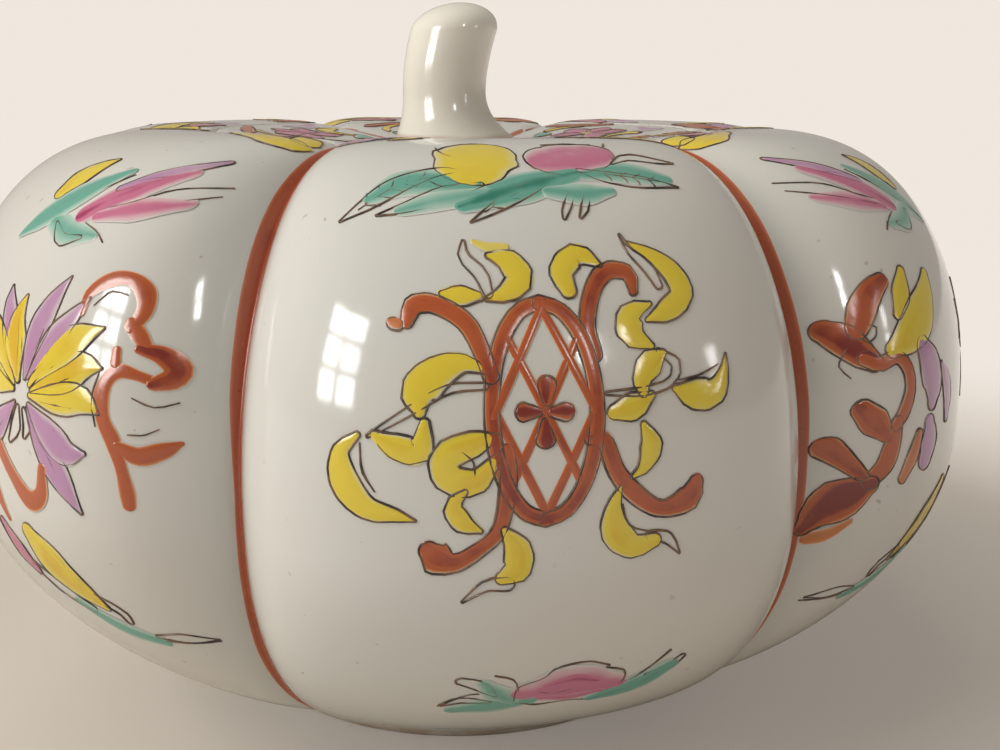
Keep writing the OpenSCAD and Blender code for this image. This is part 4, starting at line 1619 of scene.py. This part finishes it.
class JarBody:
    """The potted body, its turned foot and the gallery inside its mouth.

    Attributes:
        LUTE: how far the foot reaches up into the body.
        FOOT_EASE: how much the foot's edges are eased.
        LEDGE_EASE: how much the gallery's edges are eased.
    """

    LUTE = 0.6 * MM
    FOOT_EASE = 1.0 * MM
    LEDGE_EASE = 0.6 * MM

    def __init__(self, sizes: JarSizes, glaze: bpy.types.Material, foot: bpy.types.Material) -> None:
        """Keeps the sizes and the finishes."""
        self.sizes = sizes
        self.glaze = glaze
        self.foot = foot

    def section(self, form: RibbedForm) -> list[Patch]:
        """The body's section, from under its base, over the shoulder and down the inside.

        Args:
            form: the rule on sockets.

        Returns:
            The stretches in order.
        """
        s = self.sizes
        lip_r = s.mouth_r + s.lip
        inner_r = s.gallery_r + s.shoulder_run
        floor_r = s.form.foot_r + s.floor_run
        flat_r, flat_z = s.form.foot_r - s.floor_run, s.form.foot_h + s.form.wall

        def lip_z(w: Number) -> Number:
            """Height of the shoulder where the lip starts."""
            return form.upper_height(w, lip_r, form.upper_angle(w, lip_r))

        def under_shoulder(w: Number, share: Number) -> tuple[Number, Number]:
            """From the gallery's edge to the inner wall."""
            r, z = form.upper_inner(w, form.upper_angle(w, inner_r))
            return s.gallery_r + (r - s.gallery_r) * share, s.ledge_z + (z - s.ledge_z) * share

        def to_floor(w: Number, share: Number) -> tuple[Number, Number]:
            """From the inner wall to the flat floor."""
            r, z = form.lower_inner(w, form.lower_angle(w, floor_r))
            return r + (flat_r - r) * share, z + (flat_z - z) * share

        return [
            Patch(6, lambda w, a: (a * s.form.foot_r, a * 0.0 + s.form.foot_h)),
            Patch(56, lambda w, a: form.lower_point(w, (1 - a) * form.lower_angle(w, s.form.foot_r))),
            Patch(76, lambda w, a: form.upper_point(w, a * form.upper_angle(w, lip_r))),
            Patch(6, lambda w, a: (lip_r - s.lip * sine(a * (math.pi / 2)),
                                   lip_z(w) - s.lip * (1 - cosine(a * (math.pi / 2))))),
            Patch(4, lambda w, a: (a * 0.0 + s.mouth_r, (lip_z(w) - s.lip) * (1 - a) + a * s.ledge_z)),
            Patch(2, lambda w, a: (s.mouth_r + a * s.gallery_lute, a * 0.0 + s.ledge_z)),
            Patch(3, under_shoulder),
            Patch(20, lambda w, a: form.upper_inner(w, (1 - a) * form.upper_angle(w, inner_r))),
            Patch(20, lambda w, a: form.lower_inner(w, a * form.lower_angle(w, floor_r))),
            Patch(4, to_floor),
            Patch(4, lambda w, a: ((1 - a) * flat_r, a * 0.0 + flat_z)),
        ]

    def make(self) -> list[bpy.types.Object]:
        """Builds the body's pieces, hides the model's parts that they take the place of, and hangs them on
        the jar.

        Returns:
            The pieces.
        """
        s = self.sizes
        maker = SkinMaker("Jar skin", self.glaze)
        skin = maker.make("jar_skin", self.section(maker.form), s.form)
        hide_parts("lower_shell", "upper_shell")
        foot_top = s.form.foot_h + self.LUTE
        foot = RingMaker(self.foot).run("turned_foot", {
            "Middle radius": s.form.foot_r - s.foot_w / 2, "Middle height": foot_top / 2,
            "Width": s.foot_w, "Depth": foot_top, "Eased edge": self.FOOT_EASE})
        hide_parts("foot_ring")
        ledge_r = s.mouth_r - s.ledge_w
        gallery = RingMaker(self.glaze).run("mouth_ledge", {
            "Middle radius": (s.gallery_r + ledge_r) / 2, "Middle height": (s.gallery_low + s.ledge_z) / 2,
            "Width": s.gallery_r - ledge_r, "Depth": s.ledge_z - s.gallery_low,
            "Eased edge": self.LEDGE_EASE})
        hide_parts("mouth_gallery")
        pieces = [skin, foot, gallery]
        for piece in pieces:
            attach(piece, "jar")
        return pieces


class Lid:
    """The lid with its ribs, locating flange and stalk.

    Attributes:
        EASE: how much the lower edge is eased.
        FLANGE_EASE: how much the flange's edges are eased.
        STALK: the stalk's own sizes, by socket.
    """

    EASE = 0.4 * MM
    FLANGE_EASE = 0.9 * MM
    STALK = {"Waist radius": 6.9 * MM, "Tip bulge": 0.6 * MM, "Bend": 3.0 * MM, "Glaze fillet": 0.9 * MM}

    def __init__(self, sizes: JarSizes, glaze: bpy.types.Material, celadon: bpy.types.Material,
                 bare: bpy.types.Material) -> None:
        """Keeps the sizes and the finishes."""
        self.sizes = sizes
        self.glaze = glaze
        self.celadon = celadon
        self.bare = bare

    def section(self, form: RibbedForm) -> list[Patch]:
        """The lid's section: underside, eased edge, then the ribbed top in to the pad.

        Args:
            form: the rule on sockets.

        Returns:
            The stretches in order.
        """
        s = self.sizes
        lip, ease = s.lip, self.EASE
        top_r = s.lid_r - lip

        def top_z(w: Number) -> Number:
            """Height of the ribbed top where the lip ends."""
            return form.upper_height(w, top_r, form.upper_angle(w, top_r))

        def ribbed_top(w: Number, share: Number) -> tuple[Number, Number]:
            """The outside of the lid from its lip to the pad."""
            start = form.upper_angle(w, top_r)
            return form.upper_point(w, start + (math.pi / 2 - start) * share)

        return [
            Patch(8, lambda w, a: (a * (s.lid_r - ease), a * 0.0 + s.lid_z)),
            Patch(3, lambda w, a: (s.lid_r - ease + ease * sine(a * (math.pi / 2)),
                                   s.lid_z + ease * (1 - cosine(a * (math.pi / 2))))),
            Patch(4, lambda w, a: (a * 0.0 + s.lid_r,
                                   (s.lid_z + ease) * (1 - a) + (top_z(w) - lip) * a)),
            Patch(6, lambda w, a: (s.lid_r - lip * (1 - cosine(a * (math.pi / 2))),
                                   top_z(w) - lip * (1 - sine(a * (math.pi / 2))))),
            Patch(44, ribbed_top),
            Patch(6, lambda w, a: ((1 - a) * s.form.pad_r, a * 0.0 + s.pad_z)),
        ]

    def make(self) -> list[bpy.types.Object]:
        """Builds the lid's pieces, hides the model's parts that they take the place of, and hangs them on
        the lid.

        Returns:
            The pieces.
        """
        s = self.sizes
        maker = SkinMaker("Lid skin", self.glaze)
        skin = maker.make("lid_skin", self.section(maker.form), s.form)
        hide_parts("lid_shell")
        low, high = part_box("lid_flange")
        flange = RingMaker(self.bare).run("locating_flange", {
            "Middle radius": high.x - s.flange_t / 2, "Middle height": (low.z + high.z) / 2,
            "Width": s.flange_t, "Depth": high.z - low.z, "Eased edge": self.FLANGE_EASE})
        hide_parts("lid_flange")
        stalk = StalkMaker(self.celadon).run("stalk", {
            "Base height": s.pad_z, "Height": s.top_z - s.pad_z, "Root radius": s.root_r} | self.STALK)
        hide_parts("stem_knob")
        pieces = [skin, flange, stalk]
        for piece in pieces:
            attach(piece, "lid")
        return pieces


class Decoration:
    """The painted enamels of one body, as a piece for each pigment and one for the ink.

    Attributes:
        LINE_HALF: half the width of a groove line in millimetres.
        LINE_STATIONS: how many stations a groove line has.
        LINE_ACROSS: how many points lie across it.
        LINE_DOME: how much higher its middle is than its edges.
    """

    LINE_HALF = 0.9
    LINE_STATIONS = 90
    LINE_ACROSS = 9
    LINE_DOME = 0.08

    def __init__(self, body: str, chart: LobeChart, seed: int) -> None:
        """Takes a fresh brush for this body."""
        self.body = body
        self.chart = chart
        self.brush = Brush(chart, seed)

    def groove_line(self, groove: int, low: float, high: float, offset: float = 0.0, lean: float = 0.0
                    ) -> None:
        """Paints the iron-red line in one groove.

        Args:
            groove: which groove, counted round from the right of the front lobe.
            low: where it starts, in millimetres up the crown.
            high: where it ends.
            offset: how far beside the groove it lies.
            lean: how much further aside it lies near the shoulder.
        """
        ups = np.linspace(low, high, self.LINE_STATIONS)
        shoulder = np.sin(np.clip((ups - 5) / 60, 0, 1) * math.pi)
        middle = self.chart.half_width(ups) + offset + lean * shoulder + self.brush.wander(len(ups), 0.1)
        width = self.LINE_HALF * (1 + 0.35 * shoulder + self.brush.wander(len(ups), 0.12))
        q = np.linspace(-1, 1, self.LINE_ACROSS)
        across = middle[:, None] + width[:, None] * q[None, :]
        up = np.repeat(ups[:, None], len(q), 1)
        load = 0.62 + 0.2 * self.brush.wander(len(ups), 1.0)
        body = np.clip((1 - np.abs(q)) * 2.4, 0, 1)[None, :] * load[:, None]
        proud = Brush.FILM + self.LINE_DOME * (1 - q[None, :] ** 2) + 0 * up
        spots = self.chart.spot(across, up, groove, proud)
        self.brush.pots.setdefault(Pigment.LINE_RED, Painted()).add(spots, body)

    def make(self, enamels: dict[Pigment, bpy.types.Material], ink: bpy.types.Material
             ) -> list[bpy.types.Object]:
        """Turns what was painted into pieces.

        Args:
            enamels: each pigment's material.
            ink: the drawing ink.

        Returns:
            The pieces, riding on their body.
        """
        pieces = []
        for pigment, pot in self.brush.pots.items():
            name = f"{self.body}_{pigment.label}_enamel"
            pieces.append(finish_mesh(name, pot.mesh(name), enamels[pigment]))
        name = f"{self.body}_ink_drawing"
        drawing = self.brush.ink.mesh(name + "_paths")
        pieces.append(LineMaker(ink).run(name, {"Bead roundness": 1.0}, drawing))
        for piece in pieces:
            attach(piece, self.body)
        return pieces


# ---------------------------------------------------------------- the studio


@dataclass(frozen=True)
class Lamp:
    """A rectangular lamp that faces the jar.

    Attributes:
        name: the lamp's name.
        azimuth: degrees from the front, positive to the right.
        elevation: degrees above the table.
        distance: metres from the jar.
        size: its width and height in metres.
        power: watts.
        colour: its colour.
    """

    AIM_Z = 0.06
    PANE_SHARE = 0.8

    name: str
    azimuth: float
    elevation: float
    distance: float
    size: tuple[float, float]
    power: float
    colour: Colour = (1.0, 1.0, 1.0)

    def hang(self) -> bpy.types.Object:
        """Hangs the lamp.

        Returns:
            The lamp's object.
        """
        data = bpy.data.lights.new(self.name, "AREA")
        data.shape = "RECTANGLE"
        data.size, data.size_y = self.size
        data.energy = self.power
        data.color = self.colour
        lamp = bpy.data.objects.new(self.name, data)
        a, e = math.radians(self.azimuth), math.radians(self.elevation)
        toward = Vector((math.sin(a) * math.cos(e), -math.cos(a) * math.cos(e), math.sin(e)))
        lamp.location = Vector((0.0, 0.0, self.AIM_Z)) + toward * self.distance
        lamp.rotation_euler = toward.to_track_quat("Z", "Y").to_euler()
        bpy.context.scene.collection.objects.link(lamp)
        return lamp

    def panes(self, wide: int, tall: int) -> list["Lamp"]:
        """The lamp as a window: a set of panes with dark bars between them.

        Args:
            wide: how many panes across.
            tall: how many panes up.

        Returns:
            A lamp for each pane.
        """
        step = (self.size[0] / wide, self.size[1] / tall)
        lit = (step[0] * self.PANE_SHARE, step[1] * self.PANE_SHARE)
        panes = []
        for i in range(wide):
            for j in range(tall):
                aside = math.degrees(((i + 0.5) * step[0] - self.size[0] / 2) / self.distance)
                above = math.degrees(((j + 0.5) * step[1] - self.size[1] / 2) / self.distance)
                panes.append(Lamp(f"{self.name}_{i}_{j}", self.azimuth + aside, self.elevation + above,
                                  self.distance, lit, self.power / (wide * tall), self.colour))
        return panes


@dataclass(frozen=True)
class Studio:
    """Plain floor, soft light and the camera.

    Attributes:
        backdrop: colour behind the jar.
        table: colour of the table close to the jar.
        floor_r: the table top's radius in metres.
        fade: where the table starts and ends its fade to the backdrop, in metres from the jar's axis.
        floor_seen: how much of the backdrop's colour the camera sees in the table at least.
        sky: colour of the light from all round.
        sky_light: its strength.
        mirror_light: strength of the backdrop as the glaze reflects it.
        look_z: height of the point that the camera is turned about.
        distance: the camera's distance from it.
        height_angle: how far above the table the camera stands, in radians.
        side_angle: how far to the side it stands.
        pan: how far it turns aside from that point.
        tilt: how far it turns up.
        roll: how far it leans.
        lens: its focal length in millimetres.
        sensor: its sensor's width in millimetres.
        nearest: how close it still sees, in metres.
    """

    backdrop: Colour = (0.87, 0.80, 0.73)
    table: Colour = (0.60, 0.55, 0.48)
    floor_r: float = 4.0
    fade: tuple[float, float] = (0.085, 0.30)
    floor_seen: float = 0.2
    sky: Colour = (1.0, 0.88, 0.74)
    sky_light: float = 0.13
    mirror_light: float = 0.42
    look_z: float = 0.049
    distance: float = 0.2091
    height_angle: float = 0.253
    side_angle: float = -0.129
    pan: float = 0.033
    tilt: float = 0.002
    roll: float = 0.004
    lens: float = 40.68
    sensor: float = 36.0
    nearest: float = 0.005

    def make_floor(self) -> bpy.types.Object:
        """A round table top that fades into the backdrop's colour far out.

        Returns:
            The floor.
        """
        rings, sides = 24, 96
        mesh = bpy.data.meshes.new("table_top")
        radii = [self.floor_r * (i / rings) ** 2 for i in range(1, rings + 1)]
        points = [(0.0, 0.0, 0.0)] + [(r * math.cos(2 * math.pi * k / sides),
                                       r * math.sin(2 * math.pi * k / sides), 0.0)
                                      for r in radii for k in range(sides)]
        faces = [(0, 1 + k, 1 + (k + 1) % sides) for k in range(sides)]
        for i in range(rings - 1):
            a, b = 1 + i * sides, 1 + (i + 1) * sides
            faces += [(a + k, b + k, b + (k + 1) % sides, a + (k + 1) % sides) for k in range(sides)]
        mesh.from_pydata(points, [], faces)
        paint = Finish("table_paint", Roughness=0.6)
        spot = paint.out("ShaderNodeTexCoord", output="Object")
        away = paint.value("ShaderNodeVectorMath", {"operation": "LENGTH"}, {0: spot}, "Value")
        far = away.between(*self.fade)
        paint.feed("Base Color", paint.mixed(far, self.table, self.backdrop))
        glow = paint.out("ShaderNodeEmission", None, {"Color": (*self.backdrop, 1.0), "Strength": 1.0})
        seen = paint.value("ShaderNodeLightPath", output="Is Camera Ray") * self.floor_seen
        share = seen.math("MAXIMUM", far)
        blended = paint.out("ShaderNodeMixShader", None, {0: share, 1: paint.shader.outputs[0], 2: glow})
        paint.tree.links.new(blended, paint.tree.nodes["Material Output"].inputs["Surface"])
        floor = finish_mesh("table_top", mesh, paint.material)
        return floor

    def make_world(self) -> None:
        """Even light for the jar, and the backdrop's colour for the camera and for reflections."""
        world = bpy.data.worlds.new("studio")
        world.use_nodes = True
        bpy.context.scene.world = world
        tree = Tree(world.node_tree)
        rays = tree.node("ShaderNodeLightPath")
        direct, passed, glossy = (Value(tree, rays.outputs[f"Is {kind} Ray"])
                                  for kind in ("Camera", "Transmission", "Glossy"))
        seen = direct.math("MAXIMUM", passed)
        lights = ((self.sky, self.sky_light), (self.backdrop, self.mirror_light), (self.backdrop, 1.0))
        sky, mirror, card = (tree.out("ShaderNodeBackground", None, {"Color": (*tint, 1.0), "Strength": w})
                             for tint, w in lights)
        lit = tree.out("ShaderNodeMixShader", None, {0: glossy, 1: sky, 2: mirror})
        whole = tree.out("ShaderNodeMixShader", None, {0: seen, 1: lit, 2: card})
        tree.tree.links.new(whole, tree.tree.nodes["World Output"].inputs["Surface"])

    def make_camera(self) -> bpy.types.Object:
        """Sets the camera close in front, a little to the left and above.

        Returns:
            The camera.
        """
        side, dip = -self.side_angle, self.height_angle
        ahead = Vector((math.sin(side) * math.cos(dip), math.cos(side) * math.cos(dip), -math.sin(dip)))
        right = Vector((math.cos(side), -math.sin(side), 0.0))
        upward = right.cross(ahead)
        location = Vector((0.0, 0.0, self.look_z)) - ahead * self.distance
        ahead = ahead * math.cos(self.pan) + right * math.sin(self.pan)
        right = ahead.cross(upward)
        ahead = ahead * math.cos(self.tilt) + upward * math.sin(self.tilt)
        upward = right.cross(ahead)
        turned = right * math.cos(self.roll) - upward * math.sin(self.roll)
        upward = upward * math.cos(self.roll) + right * math.sin(self.roll)
        data = bpy.data.cameras.new("camera")
        data.lens = self.lens
        data.sensor_width = self.sensor
        data.clip_start = self.nearest
        camera = bpy.data.objects.new("camera", data)
        basis = [[turned[i], upward[i], -ahead[i], location[i]] for i in range(3)] + [[0, 0, 0, 1]]
        camera.matrix_world = Matrix(basis)
        bpy.context.scene.collection.objects.link(camera)
        bpy.context.scene.camera = camera
        return camera

    def make(self) -> None:
        """Builds the whole studio."""
        self.make_floor()
        self.make_world()
        self.make_camera()
        windows = (Lamp("left_window", -54.0, 21.0, 1.4, (0.56, 0.70), 15.0).panes(2, 3)
                   + Lamp("front_window", 19.0, 26.0, 1.6, (0.14, 0.30), 2.8).panes(2, 2)
                   + Lamp("side_window", 54.0, 12.0, 1.6, (0.14, 0.40), 1.4).panes(1, 2))
        for pane in windows:
            pane.hang().visible_diffuse = False
        daylight = (
            Lamp("left_daylight", -80.0, 32.0, 1.5, (1.3, 1.1), 15.5, (1.0, 0.95, 0.87)),
            Lamp("ceiling_panel", -85.0, 64.0, 1.4, (1.2, 1.2), 8.5, (1.0, 0.94, 0.85)),
            Lamp("far_right", 112.0, 18.0, 1.7, (1.0, 1.0), 4.0, (1.0, 0.92, 0.8)),
        )
        for lamp in daylight:
            lamp.hang().visible_glossy = False
        bpy.context.scene.view_settings.view_transform = "Standard"


def paint_jar(chart: LobeChart, sizes: JarSizes) -> Decoration:
    """Paints the body: the groove lines, then the lobes in turn.

    Args:
        chart: finds places on the form.
        sizes: the jar's sizes.

    Returns:
        The body's decoration.
    """
    painted = Decoration("jar", chart, seed=11)
    rim = chart.up_at(sizes.mouth_r + sizes.lip)
    lobes = int(sizes.form.lobes)
    for groove, (offset, lean) in enumerate(LINE_COURSES[:lobes]):
        painted.groove_line(groove, float(chart.climb[0]) + 1.0, rim, offset, lean)
    designs = (emblem_lobe, branch_lobe, emblem_lobe, lotus_lobe, emblem_lobe, lotus_lobe)
    for lobe in range(lobes):
        painted.brush.paint(designs[lobe % len(designs)](), lobe)
    return painted


def paint_lid(chart: LobeChart, sizes: JarSizes) -> Decoration:
    """Paints the lid: its own groove lines, which miss the body's a little, and a ring of flowers.

    Args:
        chart: finds places on the form.
        sizes: the jar's sizes.

    Returns:
        The lid's decoration.
    """
    painted = Decoration("lid", chart, seed=23)
    rim = chart.up_at(sizes.lid_r - sizes.lip)
    lobes = int(sizes.form.lobes)
    for groove in range(lobes):
        painted.groove_line(groove, rim, chart.up_at(sizes.form.pad_r + 0.4 * MM), 0.7)
    for lobe in range(lobes):
        painted.brush.paint(lid_lobe(), lobe)
    return painted


def main() -> None:
    """Builds the jar and the studio."""
    logging.basicConfig(level=logging.INFO, format="%(name)s: %(message)s")
    sizes = JarSizes()
    glaze = PorcelainGlaze()
    porcelain = glaze.material("porcelain_glaze")
    foot_clay = BareClay().material("foot_clay", 1.4 * MM, 1.0)
    bare = BareClay().material("flange_clay", sizes.lid_z - 3.0 * MM, 1.0)
    celadon = CeladonGlaze().material("celadon_glaze", sizes.pad_z)
    enamels = {p: p.material(glaze.body) for p in Pigment if p is not Pigment.BARE}
    ink = InkFinish().material("drawing_ink")
    chart = LobeChart(sizes.form)
    pieces = JarBody(sizes, porcelain, foot_clay).make()
    pieces += Lid(sizes, porcelain, celadon, bare).make()
    pieces += paint_jar(chart, sizes).make(enamels, ink)
    pieces += paint_lid(chart, sizes).make(enamels, ink)
    Studio().make()


if __name__ == "__main__":
    main()
